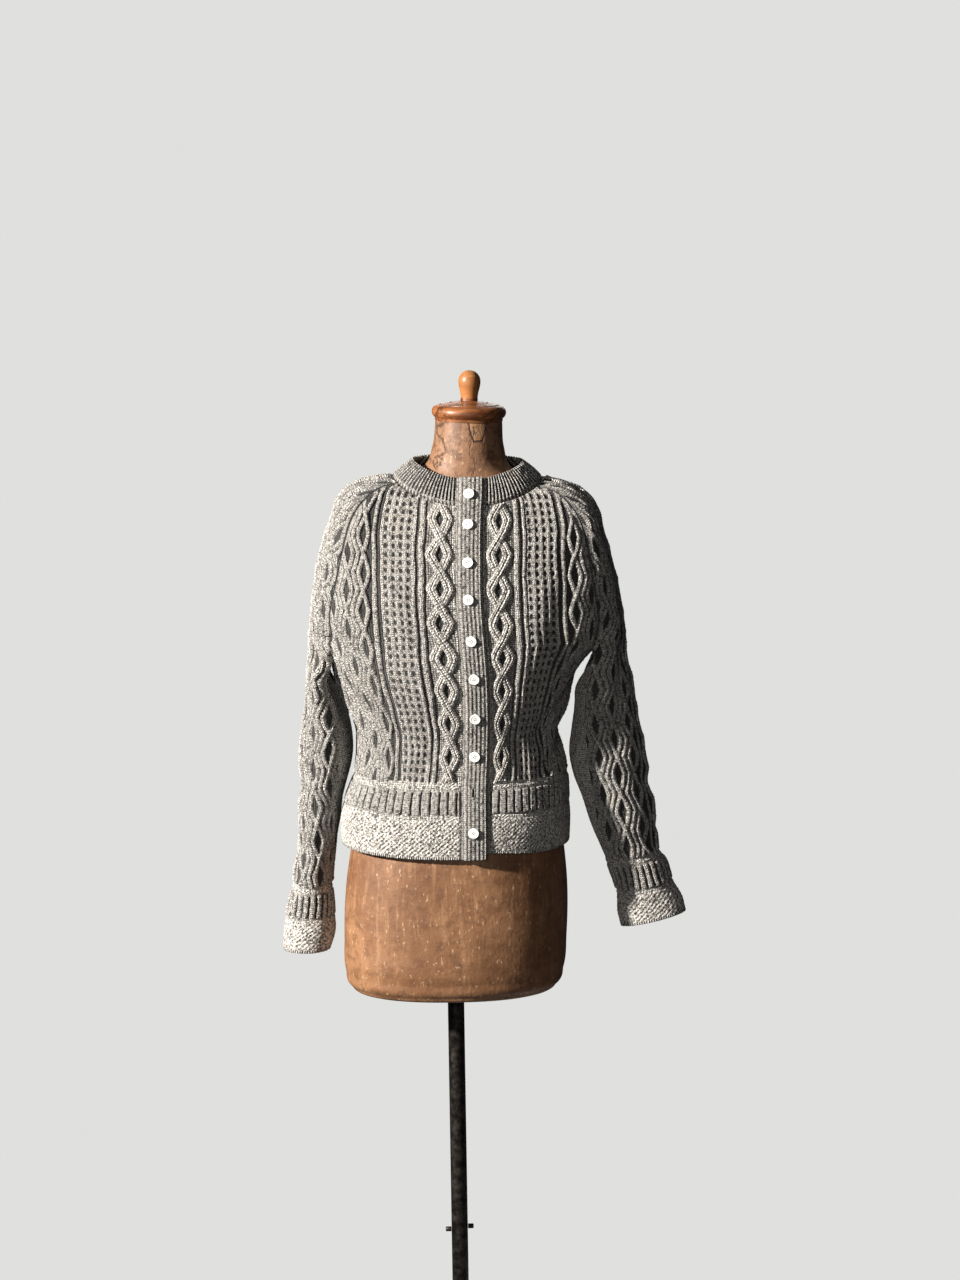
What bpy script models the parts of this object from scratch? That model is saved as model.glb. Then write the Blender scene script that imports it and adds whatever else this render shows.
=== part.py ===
# Cable-knit cardigan worn by a dress form on a steel pole.
# Metres, +Z up, origin on the floor under the pole; the front faces -Y.
# The cloth is a wall: its outer points carry the cables and ribs, its inside is plain.
# Tables are written for an upright figure; lean() then leans every point as the old form leans.

import math

import bmesh
import bpy
import numpy as np
from mathutils import Vector, kdtree

# ---- stand and form ----
BASE_RADIUS = 0.170
BASE_THICKNESS = 0.014
SOCKET_RADIUS = 0.021
SOCKET_HEIGHT = 0.055
POLE_RADIUS = 0.0115
POLE_SIDES = 24
SET_SCREW_HEIGHTS = (0.329, 0.333)
SET_SCREW_RADIUS = 0.0035
SET_SCREW_LENGTH = 0.008
FORM_BOTTOM = 0.680
FORM_SHIFT = -0.002
NECK_TOP = 1.476
FIT_GAP = 0.0003
BUTTON_GAP = 0.0007

# ---- lean of the whole figure ----
LEAN = 0.0384
TILT = 0.033
TILT_START = 0.95
TILT_END = 1.30

# ---- cloth ----
WALL = 0.003
SEAM_GAP = 0.0004
HEM = 0.889
UNDERARM = 1.185
FRONT_EDGE_UNDERARM = -0.060
BACK_EDGE_UNDERARM = 0.056
SECTION_POWER = 2.4
NECK_RAGLAN_FRONT = -0.036
NECK_RAGLAN_BACK = 0.028
BAND_HALF_WIDTH = 0.0165
UNDER_BAND_OUTER = 0.0235
BAND_LIFT = 0.0041
TOP_BAND_OFFSETS = np.linspace(-0.0165, 0.0165, 13)
UNDER_BAND_OFFSETS = (-0.0080, 0.0060, 0.0165, 0.0190, 0.0215, 0.0235)
SEAM_PLAIN = 0.010
SEAM_TURN = 0.018
FOLD_FADE = 0.014
HEM_RISE = 0.006
HEM_STEP = 0.007
SLEEVE_ARC_SHARE = 0.16
CAP_BLEND = 0.085
NECK_ROWS = 8
NECK_BULGE = 0.002
NECK_RIB = {"pitch": 0.0060, "height": 0.0016}
BAND_RIB = {"pitch": 0.0055, "height": 0.0013}

# ---- fine grid and how far it is thinned ----
BAND_STEP = 8
BODY_ROWS = 72
YOKE_ROWS = 64
FRONT_COLUMNS = 48
BACK_COLUMNS = 88
ARC_COLUMNS = 8
SLEEVE_COLUMNS = 56
SLEEVE_ROWS = 100
FACES = {"front": 2450, "back": 2750, "sleeve": 2000, "neckband": 1300}

# height, left half-width, right half-width, front depth, back depth of the body at its base surface
BODY_SECTIONS = (
    (0.889, 0.1620, 0.1520, 0.116, 0.108),
    (0.925, 0.1640, 0.1520, 0.117, 0.109),
    (0.955, 0.1570, 0.1490, 0.113, 0.105),
    (0.985, 0.1475, 0.1465, 0.108, 0.099),
    (1.020, 0.1425, 0.1385, 0.105, 0.093),
    (1.055, 0.1445, 0.1295, 0.106, 0.091),
    (1.085, 0.1540, 0.1395, 0.111, 0.095),
    (1.120, 0.1720, 0.1495, 0.118, 0.101),
    (1.150, 0.1840, 0.1630, 0.122, 0.107),
    (1.185, 0.1940, 0.1940, 0.124, 0.112),
)

# height, front depth, back depth of the yoke at the centre lines
YOKE_DEPTHS = (
    (1.185, 0.124, 0.112),
    (1.230, 0.123, 0.114),
    (1.270, 0.119, 0.113),
    (1.305, 0.112, 0.109),
    (1.335, 0.104, 0.102),
    (1.365, 0.093, 0.091),
    (1.400, 0.082, 0.074),
)

# raglan seams from the underarm to the neck: distance out, depth, height
FRONT_RAGLAN = (
    (0.1830, -0.072, 1.212),
    (0.1790, -0.080, 1.240),
    (0.1730, -0.084, 1.270),
    (0.1670, -0.083, 1.302),
    (0.1620, -0.081, 1.325),
    (0.1570, -0.078, 1.343),
    (0.1480, -0.072, 1.361),
    (0.1350, -0.064, 1.376),
    (0.1200, -0.054, 1.387),
    (0.1080, -0.046, 1.391),
)
BACK_RAGLAN = (
    (0.1830, 0.069, 1.214),
    (0.1790, 0.078, 1.243),
    (0.1730, 0.083, 1.275),
    (0.1660, 0.084, 1.308),
    (0.1590, 0.080, 1.335),
    (0.1500, 0.074, 1.356),
    (0.1370, 0.064, 1.375),
    (0.1220, 0.050, 1.388),
    (0.1080, 0.038, 1.394),
)

# outer line of each sleeve from the underarm level over the shoulder to the neck:
# height, distance out on the left, distance out on the right, depth
SHOULDER_LINE = (
    (1.1850, 0.2105, 0.2200, 0.020),
    (1.2100, 0.2085, 0.2155, 0.019),
    (1.2450, 0.2050, 0.2090, 0.018),
    (1.2900, 0.1975, 0.1970, 0.015),
    (1.3250, 0.1875, 0.1860, 0.012),
    (1.3500, 0.1800, 0.1790, 0.009),
    (1.3660, 0.1740, 0.1720, 0.007),
    (1.3775, 0.1660, 0.1610, 0.005),
    (1.3865, 0.1500, 0.1460, 0.003),
    (1.3925, 0.1320, 0.1280, 0.001),
    (1.3965, 0.1140, 0.1120, 0.000),
)

# sleeve sections below the underarm: height, distance out and depth of the centre,
# half-width, half-depth, turn about +Z in degrees, rise of the outer side over the inner side
LEFT_SLEEVE = (
    (0.737, 0.2098, 0.018, 0.0320, 0.036, 0.0, 0.00),
    (0.760, 0.2066, 0.018, 0.0350, 0.035, 0.0, 0.00),
    (0.794, 0.2056, 0.020, 0.0319, 0.036, 0.0, 0.00),
    (0.834, 0.2032, 0.022, 0.0258, 0.040, 2.0, 0.00),
    (0.888, 0.1985, 0.024, 0.0248, 0.047, 3.0, 0.00),
    (0.948, 0.1929, 0.026, 0.0282, 0.054, 5.0, 0.00),
    (1.020, 0.1865, 0.026, 0.0350, 0.061, 8.0, 0.00),
    (1.055, 0.1870, 0.022, 0.0305, 0.063, 8.0, 0.00),
    (1.085, 0.1905, 0.016, 0.0230, 0.065, 7.0, 0.00),
    (1.120, 0.1990, 0.009, 0.0137, 0.064, 4.0, 0.00),
    (1.150, 0.2025, 0.003, 0.0095, 0.062, 1.0, 0.00),
    (1.185, 0.2025, 0.000, 0.0100, 0.060, 0.0, 0.00),
)
RIGHT_SLEEVE = (
    (0.775, 0.2740, 0.008, 0.0440, 0.026, 0.0, 0.23),
    (0.795, 0.2685, 0.010, 0.0440, 0.028, 0.0, 0.22),
    (0.817, 0.2618, 0.012, 0.0385, 0.032, 0.0, 0.20),
    (0.851, 0.2500, 0.014, 0.0385, 0.035, 0.0, 0.15),
    (0.881, 0.2370, 0.014, 0.0390, 0.038, 0.0, 0.12),
    (0.914, 0.2271, 0.014, 0.0440, 0.041, 0.0, 0.10),
    (0.953, 0.2163, 0.014, 0.0470, 0.044, 0.0, 0.08),
    (0.985, 0.2068, 0.013, 0.0505, 0.046, 0.0, 0.06),
    (1.020, 0.2003, 0.012, 0.0505, 0.049, 0.0, 0.04),
    (1.040, 0.1988, 0.011, 0.0473, 0.051, 0.0, 0.03),
    (1.076, 0.1965, 0.008, 0.0415, 0.054, 0.0, 0.02),
    (1.116, 0.1948, 0.004, 0.0378, 0.058, 0.0, 0.00),
    (1.150, 0.1990, 0.000, 0.0288, 0.060, 0.0, 0.00),
    (1.185, 0.2050, 0.000, 0.0180, 0.060, 0.0, 0.00),
)

# neck seam and top edge of the neckband: front depth, back depth, front, side and back height
NECK_SEAM = {"half": 0.102, "front": 0.090, "back": 0.068, "heights": (1.3680, 1.3985, 1.390)}
NECK_TOP_EDGE = {"half": 0.074, "front": 0.071, "back": 0.056, "heights": (1.4035, 1.4220, 1.424)}
BUTTON_LINE = (
    (0.889, 0.0280), (0.927, 0.0285), (0.980, 0.0290), (1.030, 0.0315), (1.083, 0.0330),
    (1.139, 0.0325), (1.191, 0.0295), (1.247, 0.0265), (1.300, 0.0265), (1.346, 0.0275), (1.405, 0.0305),
)
BUTTON_HEIGHTS = (1.385, 1.346, 1.296, 1.247, 1.191, 1.139, 1.083, 1.030, 0.927)
BUTTON_RADIUS = 0.0072
BUTTON_THICKNESS = 0.0030

# form: height, half-width, front depth, back depth
FORM_SECTIONS = (
    (0.680, 0.112, 0.072, 0.070),
    (0.683, 0.130, 0.090, 0.087),
    (0.692, 0.145, 0.103, 0.099),
    (0.712, 0.152, 0.109, 0.105),
    (0.760, 0.155, 0.111, 0.107),
    (0.830, 0.154, 0.110, 0.106),
    (0.890, 0.147, 0.107, 0.101),
    (0.940, 0.139, 0.101, 0.094),
    (0.990, 0.128, 0.094, 0.086),
    (1.045, 0.120, 0.090, 0.081),
    (1.100, 0.123, 0.095, 0.083),
    (1.160, 0.133, 0.106, 0.090),
    (1.220, 0.141, 0.111, 0.096),
    (1.280, 0.146, 0.104, 0.100),
    (1.330, 0.146, 0.088, 0.091),
    (1.362, 0.139, 0.073, 0.074),
    (1.381, 0.122, 0.062, 0.061),
    (1.391, 0.102, 0.055, 0.054),
    (1.399, 0.080, 0.051, 0.050),
    (1.413, 0.060, 0.049, 0.048),
    (1.440, 0.049, 0.048, 0.048),
    (1.476, 0.0455, 0.0455, 0.0455),
)
FORM_COLUMNS = 28
FORM_POWER = 2.3
FORM_NECK_START = 1.405

# radius and height from the neck top, top to bottom
CAP_PROFILE = ((0.0, 0.0265), (0.012, 0.0265), (0.030, 0.0245), (0.046, 0.0225), (0.0500, 0.0185),
               (0.0505, 0.0120), (0.0480, 0.0080), (0.0470, 0.0), (0.0, 0.0))
KNOB_PROFILE = ((0.0, 0.0410), (0.0060, 0.0400), (0.0115, 0.0360), (0.0148, 0.0290), (0.0146, 0.0220),
                (0.0120, 0.0140), (0.0112, 0.0060), (0.0125, 0.0), (0.0, 0.0))

# knit chart of a front: distances from the band's middle line, at the chest
LATTICE = {"centre": 0.0375, "swing": 0.0120, "pitch": 0.0464, "half": 0.0052, "height": 0.0036}
MEDALLION = {"centre": 0.1440, "swing": 0.0095, "pitch": 0.0500, "half": 0.0048, "height": 0.0032}
SIDE_DIAMOND = {"centre": 0.2080, "swing": 0.0100, "pitch": 0.0500, "half": 0.0050, "height": 0.0030}
WAVES = ({"centre": 0.1740, "swing": 0.0075, "period": 0.0500, "half": 0.0055, "height": 0.0032},
         {"centre": 0.2380, "swing": 0.0060, "period": 0.0500, "half": 0.0050, "height": 0.0026})
PLAIN_RIBS = ((0.0590, 0.0032, 0.0024), (0.0730, 0.0032, 0.0022), (0.1220, 0.0034, 0.0024))
OPENWORK = {"first": 0.0795, "step": 0.0104, "ribs": 5, "half": 0.0036, "height": 0.0014}
PATTERN_PHASE = 0.45
HEM_WELT = {"moss": 0.056, "ribs": (0.060, 0.095), "top": 0.099, "pitch": 0.0140, "height": 0.0030}
CUFF_WELT = {"moss": 0.044, "ribs": (0.048, 0.084), "top": 0.088, "pitch": 0.0090, "height": 0.0026}

# large folds of the cloth, as (distance along the row, height) from start to end, depth and width
BODY_FOLDS = (
    (0.250, 1.150, 0.130, 1.060, -0.0035, 0.016),
    (0.255, 1.110, 0.160, 1.035, 0.0030, 0.013),
    (0.235, 1.050, 0.120, 1.000, -0.0030, 0.012),
    (0.150, 1.300, 0.110, 1.190, -0.0025, 0.018),
)
SLEEVE_FOLDS = (
    (-0.074, 1.340, -0.064, 1.190, 0.0060, 0.013),
    (-0.064, 1.190, -0.098, 1.040, 0.0060, 0.014),
    (-0.048, 1.320, -0.042, 1.160, -0.0070, 0.012),
    (-0.042, 1.160, -0.070, 1.020, -0.0060, 0.014),
    (0.070, 1.300, 0.080, 1.080, -0.0050, 0.016),
    (-0.060, 0.990, 0.020, 0.960, -0.0040, 0.014),
    (0.060, 0.930, -0.010, 0.900, -0.0035, 0.013),
    (-0.050, 0.890, 0.010, 0.870, -0.0030, 0.011),
)


# ---------------------------------------------------------------- curves and tables

def smooth_curve(keys, values):
    """Return a function for the smooth curve through rows of values at rising keys."""
    keys = np.asarray(keys, float)
    values = np.asarray(values, float)
    slopes = np.gradient(values, keys, axis=0)

    def at(key):
        key = np.clip(np.asarray(key, float), keys[0], keys[-1])
        low = np.clip(np.searchsorted(keys, key) - 1, 0, len(keys) - 2)
        step = keys[low + 1] - keys[low]
        part = (key - keys[low]) / step
        if values.ndim > 1:
            part = part[..., None]
            step = step[..., None]
        near = (1 + 2 * part) * (1 - part) ** 2 * values[low] + part * (1 - part) ** 2 * step * slopes[low]
        far = part ** 2 * (3 - 2 * part) * values[low + 1] - part ** 2 * (1 - part) * step * slopes[low + 1]
        return near + far

    return at


def by_height(table):
    """Smooth curve through a table whose first column is the height."""
    rows = np.array(table)
    return smooth_curve(rows[:, 0], rows[:, 1:])


def soft_step(value):
    part = np.clip(value, 0.0, 1.0)
    return part * part * (3 - 2 * part)


def mix(first, second, share):
    return first * (1 - share) + second * share


def unit(vectors):
    return vectors / np.maximum(np.linalg.norm(vectors, axis=-1, keepdims=True), 1e-12)


def lean(points):
    """Lean upright points to the right, and tip the shoulders with them."""
    points = np.asarray(points, float)
    x, y, z = points[..., 0], points[..., 1], points[..., 2]
    tip = TILT * soft_step((z - TILT_START) / (TILT_END - TILT_START))
    return np.stack([x + LEAN * (z - FORM_BOTTOM), y, z - tip * x], axis=-1)


# ---------------------------------------------------------------- knit relief

def ridge(distance, half):
    """Rounded ridge: 1 on its crest, 0 from half its width outwards."""
    part = np.clip(np.abs(distance) / half, 0.0, 1.0)
    return np.cos(part * math.pi / 2) ** 1.4


def zigzag(turns):
    """Triangle wave from -1 to 1 that crosses 0 at each whole turn."""
    part = np.mod(turns + 0.5, 2.0)
    return 1 - 2 * np.abs(part - 1)


def diamond_cable(p, q, cable):
    """Two strands that cross at each pitch and leave a diamond between crossings."""
    swing = cable["swing"] * zigzag(q / cable["pitch"] + PATTERN_PHASE)
    left = ridge(p - cable["centre"] - swing, cable["half"])
    right = ridge(p - cable["centre"] + swing, cable["half"])
    return cable["height"] * np.maximum(left, right)


def wave_cable(p, q, cable):
    """One strand that snakes from side to side."""
    swing = cable["swing"] * np.sin(2 * math.pi * (q / cable["period"] + PATTERN_PHASE))
    return cable["height"] * ridge(p - cable["centre"] - swing, cable["half"])


def welt(p, q, sizes):
    """Moss border, purl ridge, wide ribs and second purl ridge above an edge."""
    low, high = sizes["ribs"]
    ribs = sizes["height"] * np.clip(0.35 + np.cos(2 * math.pi * p / sizes["pitch"]), 0, 1)
    ribs = ribs * soft_step((q - low) / 0.004) * soft_step((high - q) / 0.004)
    ridges = 0.0018 * (ridge(q - sizes["moss"], 0.004) + ridge(q - sizes["top"], 0.004))
    moss = 0.0010 * soft_step(q / 0.004) * soft_step((sizes["moss"] - 0.004 - q) / 0.004)
    return ribs + ridges + moss


def front_relief(p, z):
    """Height of the knit at p across from the button line and z above the floor."""
    q = z - HEM
    p = np.abs(p)
    cables = diamond_cable(p, q, LATTICE) + diamond_cable(p, q, MEDALLION) + diamond_cable(p, q, SIDE_DIAMOND)
    for wave in WAVES:
        cables = cables + wave_cable(p, q, wave)
    for centre, half, height in PLAIN_RIBS:
        cables = cables + height * ridge(p - centre, half)
    for k in range(OPENWORK["ribs"]):
        centre = OPENWORK["first"] + k * OPENWORK["step"]
        cables = cables + OPENWORK["height"] * ridge(p - centre, OPENWORK["half"])
    start = soft_step((q - HEM_WELT["top"] - 0.003) / 0.006)
    return cables * start + welt(p, q, HEM_WELT)


def back_relief(p, z):
    return front_relief(np.abs(p) + BAND_HALF_WIDTH, z)


def sleeve_relief(p, q):
    """Central lattice with a snaking strand and ribs on each side, plain at the underarm."""
    side = np.abs(p)
    cables = diamond_cable(side, q, {**LATTICE, "centre": 0.0})
    cables = cables + wave_cable(side, q, {**WAVES[0], "centre": 0.042})
    cables = cables + wave_cable(side, q, {**WAVES[1], "centre": 0.062})
    for centre in (0.024, 0.030):
        cables = cables + 0.0022 * ridge(side - centre, 0.003)
    start = soft_step((q - CUFF_WELT["top"] - 0.003) / 0.006)
    return cables * start + welt(p, q, CUFF_WELT)


def neckband_relief(p, rise):
    """Upright ribs round the neck; rise runs from 0 at the seam to 1 at the top edge."""
    ribs = np.clip(0.3 + np.cos(2 * math.pi * p / NECK_RIB["pitch"]), 0, 1)
    return NECK_RIB["height"] * ribs * soft_step((1.0 - rise) / 0.12)


def band_relief(p, z):
    return BAND_RIB["height"] * np.clip(0.3 + np.cos(2 * math.pi * p / BAND_RIB["pitch"]), 0, 1)


def under_band_relief(p, z):
    """Ribs only on the strip that the top band leaves bare."""
    return band_relief(p, z) * soft_step((p - BAND_HALF_WIDTH) / 0.0015)


def fold_depth(p, z, folds):
    """Soft troughs and ridges along straight stretches of the cloth."""
    depth = np.zeros(np.broadcast(p, z).shape)
    for p0, z0, p1, z1, height, width in folds:
        run = np.array([p1 - p0, z1 - z0])
        part = np.clip(((p - p0) * run[0] + (z - z0) * run[1]) / (run @ run), 0.0, 1.0)
        away = np.hypot(p - p0 - part * run[0], z - z0 - part * run[1])
        depth = depth + height * np.exp(-(away / width) ** 2)
    return depth


# ---------------------------------------------------------------- base surface of the garment

body_at = by_height(BODY_SECTIONS)
depth_at = by_height(YOKE_DEPTHS)
button_x_at = by_height(BUTTON_LINE)


def upright_button_x(z):
    """Button line before the figure leans."""
    return button_x_at(z)[..., 0] - LEAN * (z - FORM_BOTTOM)


def ring_point(edge, angle):
    """Point of a neck edge at an angle from the centre front, positive to the right."""
    facing = np.cos(angle)
    front, side, back = edge["heights"]
    ahead = np.where(facing > 0, edge["front"], edge["back"])
    drop = np.where(facing > 0, side - front, side - back)
    height = side - drop * np.abs(facing) ** 1.6
    return np.stack([edge["half"] * np.sin(angle), -ahead * facing, height], axis=-1)


def ring_angle(edge, x):
    return np.arcsin(np.clip(x / edge["half"], -1.0, 1.0))


def raglan_angle(face):
    """Angle of a raglan's top end round the neck seam, from the centre front."""
    if face == "front":
        return math.acos(-NECK_RAGLAN_FRONT / NECK_SEAM["front"])
    return math.pi - math.acos(NECK_RAGLAN_BACK / NECK_SEAM["back"])


def even(points, count):
    """Resample a polyline at count points, evenly along its length."""
    steps = np.linalg.norm(np.diff(points, axis=0), axis=1)
    length = np.concatenate(([0.0], np.cumsum(steps)))
    places = np.linspace(0.0, length[-1], count)
    return np.stack([np.interp(places, length, points[:, k]) for k in range(3)], axis=1)


def underarm_corner(side, face):
    """Point where a raglan starts on the underarm row of the body."""
    left, right, front, back = body_at(UNDERARM)
    y = FRONT_EDGE_UNDERARM if face == "front" else BACK_EDGE_UNDERARM
    reach = front if face == "front" else back
    out = (right if side > 0 else left) * (1 - (abs(y) / reach) ** SECTION_POWER) ** (1 / SECTION_POWER)
    return np.array([side * out, y, UNDERARM])


def raglan(side, face):
    """Raglan seam from the underarm to the neck, as evenly spaced points."""
    table = FRONT_RAGLAN if face == "front" else BACK_RAGLAN
    start = underarm_corner(side, face)
    end = ring_point(NECK_SEAM, side * raglan_angle(face))
    middle = [(side * out, depth, height) for out, depth, height in table]
    points = np.array([start, *middle, end])
    keys = np.concatenate(([0.0], np.cumsum(np.linalg.norm(np.diff(points, axis=0), axis=1))))
    return even(smooth_curve(keys, points)(np.linspace(0, keys[-1], 400)), YOKE_ROWS + 1)


def body_line(z, face):
    """One row of the body on one face, from its left side seam to its right side seam."""
    left, right, front, back = body_at(z)
    angle = np.linspace(-math.pi / 2, math.pi / 2, 481)
    sine = np.sin(angle)
    blend = soft_step((sine + 0.5) / 1.0)
    x = mix(left, right, blend) * np.sign(sine) * np.abs(sine) ** (2 / SECTION_POWER)
    reach = -front if face == "front" else back
    y = reach * np.abs(np.cos(angle)) ** (2 / SECTION_POWER)
    return np.stack([x, y, np.full_like(x, z)], axis=1)


def corner_x(z, face, side):
    """Where a body row turns from the panel's face to the stretch under the arm."""
    left, right, front, back = body_at(z)
    start = body_at(UNDERARM)
    share = abs(FRONT_EDGE_UNDERARM) / start[2] if face == "front" else BACK_EDGE_UNDERARM / start[3]
    return side * (right if side > 0 else left) * (1 - share ** SECTION_POWER) ** (1 / SECTION_POWER)


def yoke_depth(start, out, z, column):
    """Depth of a yoke row across its width, as a rounded section that ends on the raglans."""
    reach = depth_at(start[2])[column]
    width = (1 - (abs(start[1]) / reach) ** SECTION_POWER) ** (-1 / SECTION_POWER)
    y = reach * (1 - np.abs(out / width) ** SECTION_POWER) ** (1 / SECTION_POWER)
    return y * mix(depth_at(z)[:, column] / reach, 1.0, out ** 2)


def yoke_line(row, face, left_seam, right_seam):
    """One row of a yoke from its left raglan to its right raglan, nearing the neck's curve as it rises."""
    rise = row / YOKE_ROWS
    column = 0 if face == "front" else 1
    start, end, neck = left_seam[row], right_seam[row], left_seam[-1]
    out = np.linspace(-1.0, 1.0, 481)
    angle = ring_angle(NECK_SEAM, out * abs(neck[0]))
    top = ring_point(NECK_SEAM, angle if face == "front" else math.pi - angle)
    x = mix(start[0], end[0], (out + 1) / 2)
    middle_top = top[240, 2]
    climbed = (rise + (start[2] - UNDERARM) / (neck[2] - UNDERARM)) / 2
    middle = mix(UNDERARM, middle_top, climbed)
    z = start[2] + (top[:, 2] - neck[2]) * (start[2] - middle) / (neck[2] - middle_top)
    y = yoke_depth(start, out, z, column)
    y = y + (np.abs(top[:, 1]) - yoke_depth(neck, out, top[:, 2], column)) * soft_step((rise - 0.4) / 0.6)
    return np.stack([x, -y if face == "front" else y, z], axis=1)


def cut(line, x_from, x_to, count):
    """Evenly spaced points of a row between two distances from the middle."""
    inside = (line[:, 0] > x_from + 1e-9) & (line[:, 0] < x_to - 1e-9)
    ends = [np.array([np.interp(x, line[:, 0], line[:, k]) for k in range(3)]) for x in (x_from, x_to)]
    return even(np.vstack([ends[0], line[inside], ends[1]]), count + 1)


class Cloth:
    """One knitted piece: points of its base surface, pattern coordinates and quads."""

    def __init__(self, name, faces, relief, folds):
        self.name = name
        self.faces = faces
        self.relief = relief
        self.folds = folds
        self.points = np.zeros((0, 3))
        self.chart = np.zeros((0, 2))
        self.quads = []
        self.edges = {}
        self.lift = 0.0

    def add_points(self, points, chart):
        """Store points with their chart coordinates and return their numbers."""
        shape = points.shape[:-1]
        first = len(self.points)
        self.points = np.vstack([self.points, points.reshape(-1, 3)])
        self.chart = np.vstack([self.chart, chart.reshape(-1, 2)])
        return np.arange(first, first + int(np.prod(shape))).reshape(shape)

    def add_quads(self, numbers, flip):
        """Join rows and columns of point numbers with quads."""
        for low, high in zip(numbers, numbers[1:]):
            for k in range(len(low) - 1):
                quad = (low[k], low[k + 1], high[k + 1], high[k])
                self.quads.append(tuple(int(v) for v in (quad[::-1] if flip else quad)))

    def find_normals(self):
        corners = self.points[np.array(self.quads)]
        facing = np.cross(corners[:, 2] - corners[:, 0], corners[:, 3] - corners[:, 1])
        normals = np.zeros_like(self.points)
        for k in range(4):
            np.add.at(normals, np.array(self.quads)[:, k], facing)
        self.normals = unit(normals)
        self.inward = np.zeros_like(self.points)
        middles = corners.mean(axis=1)
        for k in range(4):
            np.add.at(self.inward, np.array(self.quads)[:, k], middles - corners[:, k])
        self.offset = np.zeros_like(self.points)
        self.held = np.zeros(len(self.points), bool)
        self.rim = np.zeros(len(self.points), bool)


def row_chart(line, heights, middle, scale):
    """Chart of one row: signed distance along it from the point nearest the middle, and height."""
    steps = np.linalg.norm(np.diff(line, axis=0), axis=1)
    length = np.concatenate(([0.0], np.cumsum(steps)))
    return np.stack([(length - middle) * scale, heights], axis=1)


def body_rows(face, left_seam, right_seam):
    """Heights and polylines of all rows of one face, hem to neck."""
    heights = np.linspace(HEM, UNDERARM, BODY_ROWS + 1)
    lines = [body_line(z, face) for z in heights]
    lines += [yoke_line(row, face, left_seam, right_seam) for row in range(1, YOKE_ROWS + 1)]
    return lines


def length_of(line):
    return float(np.linalg.norm(np.diff(line, axis=0), axis=1).sum())


def make_front(name, side, lines, x_edge_at):
    """Front panel from its band edge to the side seam and the raglan."""
    cloth = Cloth(name, FACES["front"], front_relief, BODY_FOLDS)
    body, yoke = [], []
    full = length_of(cut(lines[BODY_ROWS], *sorted((upright_button_x(UNDERARM), lines[BODY_ROWS][-side][0])), 200))
    for i, line in enumerate(lines):
        z_edge = float(np.interp(0.0, line[:, 0], line[:, 2]))
        x_edge = float(x_edge_at(z_edge))
        start = abs(x_edge - float(upright_button_x(z_edge)))
        side_x = line[-1][0] if side > 0 else line[0][0]
        middle_x = corner_x(line[0][2], "front", side) if i <= BODY_ROWS else side_x
        inner = cut(line, *sorted((x_edge, middle_x)), FRONT_COLUMNS)[::side]
        row = inner
        scale = 1.0
        if i <= BODY_ROWS:
            arc = cut(line, *sorted((middle_x, side_x)), ARC_COLUMNS)[::side]
            row = np.vstack([inner, arc[1:]])
            scale = (full - start) / length_of(row)
        chart = row_chart(row, row[:, 2], -start / scale, scale)
        (body if i <= BODY_ROWS else yoke).append((row, chart))
    low = cloth.add_points(np.array([r for r, c in body]), np.array([c for r, c in body]))
    high = cloth.add_points(np.array([r for r, c in yoke]), np.array([c for r, c in yoke]))
    yoke_numbers = np.vstack([low[-1:, :FRONT_COLUMNS + 1], high])
    cloth.add_quads(low, side < 0)
    cloth.add_quads(yoke_numbers, side < 0)
    cloth.edges = {
        "band": np.concatenate([low[:, 0], high[:, 0]]),
        "side": low[:, -1],
        "arc": low[-1, FRONT_COLUMNS:],
        "raglan": yoke_numbers[:, -1],
        "neck": high[-1],
        "neck_reversed": high[-1][::-1],
    }
    return cloth


def make_back(lines):
    """Back panel from side seam to side seam and up to the neck."""
    cloth = Cloth("back", FACES["back"], back_relief, BODY_FOLDS)
    body, yoke = [], []
    for i, line in enumerate(lines):
        if i <= BODY_ROWS:
            corners = [corner_x(line[0][2], "back", side) for side in (-1, 1)]
            left = cut(line, line[0][0], corners[0], ARC_COLUMNS)
            middle = cut(line, corners[0], corners[1], BACK_COLUMNS)
            right = cut(line, corners[1], line[-1][0], ARC_COLUMNS)
            row = np.vstack([left, middle[1:], right[1:]])
            scale = length_of(lines[BODY_ROWS]) / length_of(line)
        else:
            row = even(line, BACK_COLUMNS + 1)
            scale = 1.0
        chart = row_chart(row, row[:, 2], length_of(row) / 2, scale)
        (body if i <= BODY_ROWS else yoke).append((row, chart))
    low = cloth.add_points(np.array([r for r, c in body]), np.array([c for r, c in body]))
    high = cloth.add_points(np.array([r for r, c in yoke]), np.array([c for r, c in yoke]))
    yoke_numbers = np.vstack([low[-1:, ARC_COLUMNS:ARC_COLUMNS + BACK_COLUMNS + 1], high])
    cloth.add_quads(low, True)
    cloth.add_quads(yoke_numbers, True)
    cloth.edges = {
        "side_left": low[:, 0],
        "side_right": low[:, -1],
        "arc_left": low[-1, :ARC_COLUMNS + 1][::-1],
        "arc_right": low[-1, -ARC_COLUMNS - 1:],
        "raglan_left": yoke_numbers[:, 0],
        "raglan_right": yoke_numbers[:, -1],
        "neck": high[-1],
    }
    return cloth


def shoulder_points(side):
    """Outer line of a sleeve from the underarm level to the neck, even along its length."""
    rows = [(side * (right if side > 0 else left), depth, z) for z, left, right, depth in SHOULDER_LINE]
    points = np.array([*rows, ring_point(NECK_SEAM, side * math.pi / 2)])
    keys = np.concatenate(([0.0], np.cumsum(np.linalg.norm(np.diff(points, axis=0), axis=1))))
    return even(smooth_curve(keys, points)(np.linspace(0, keys[-1], 400)), YOKE_ROWS + 1)


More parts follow.
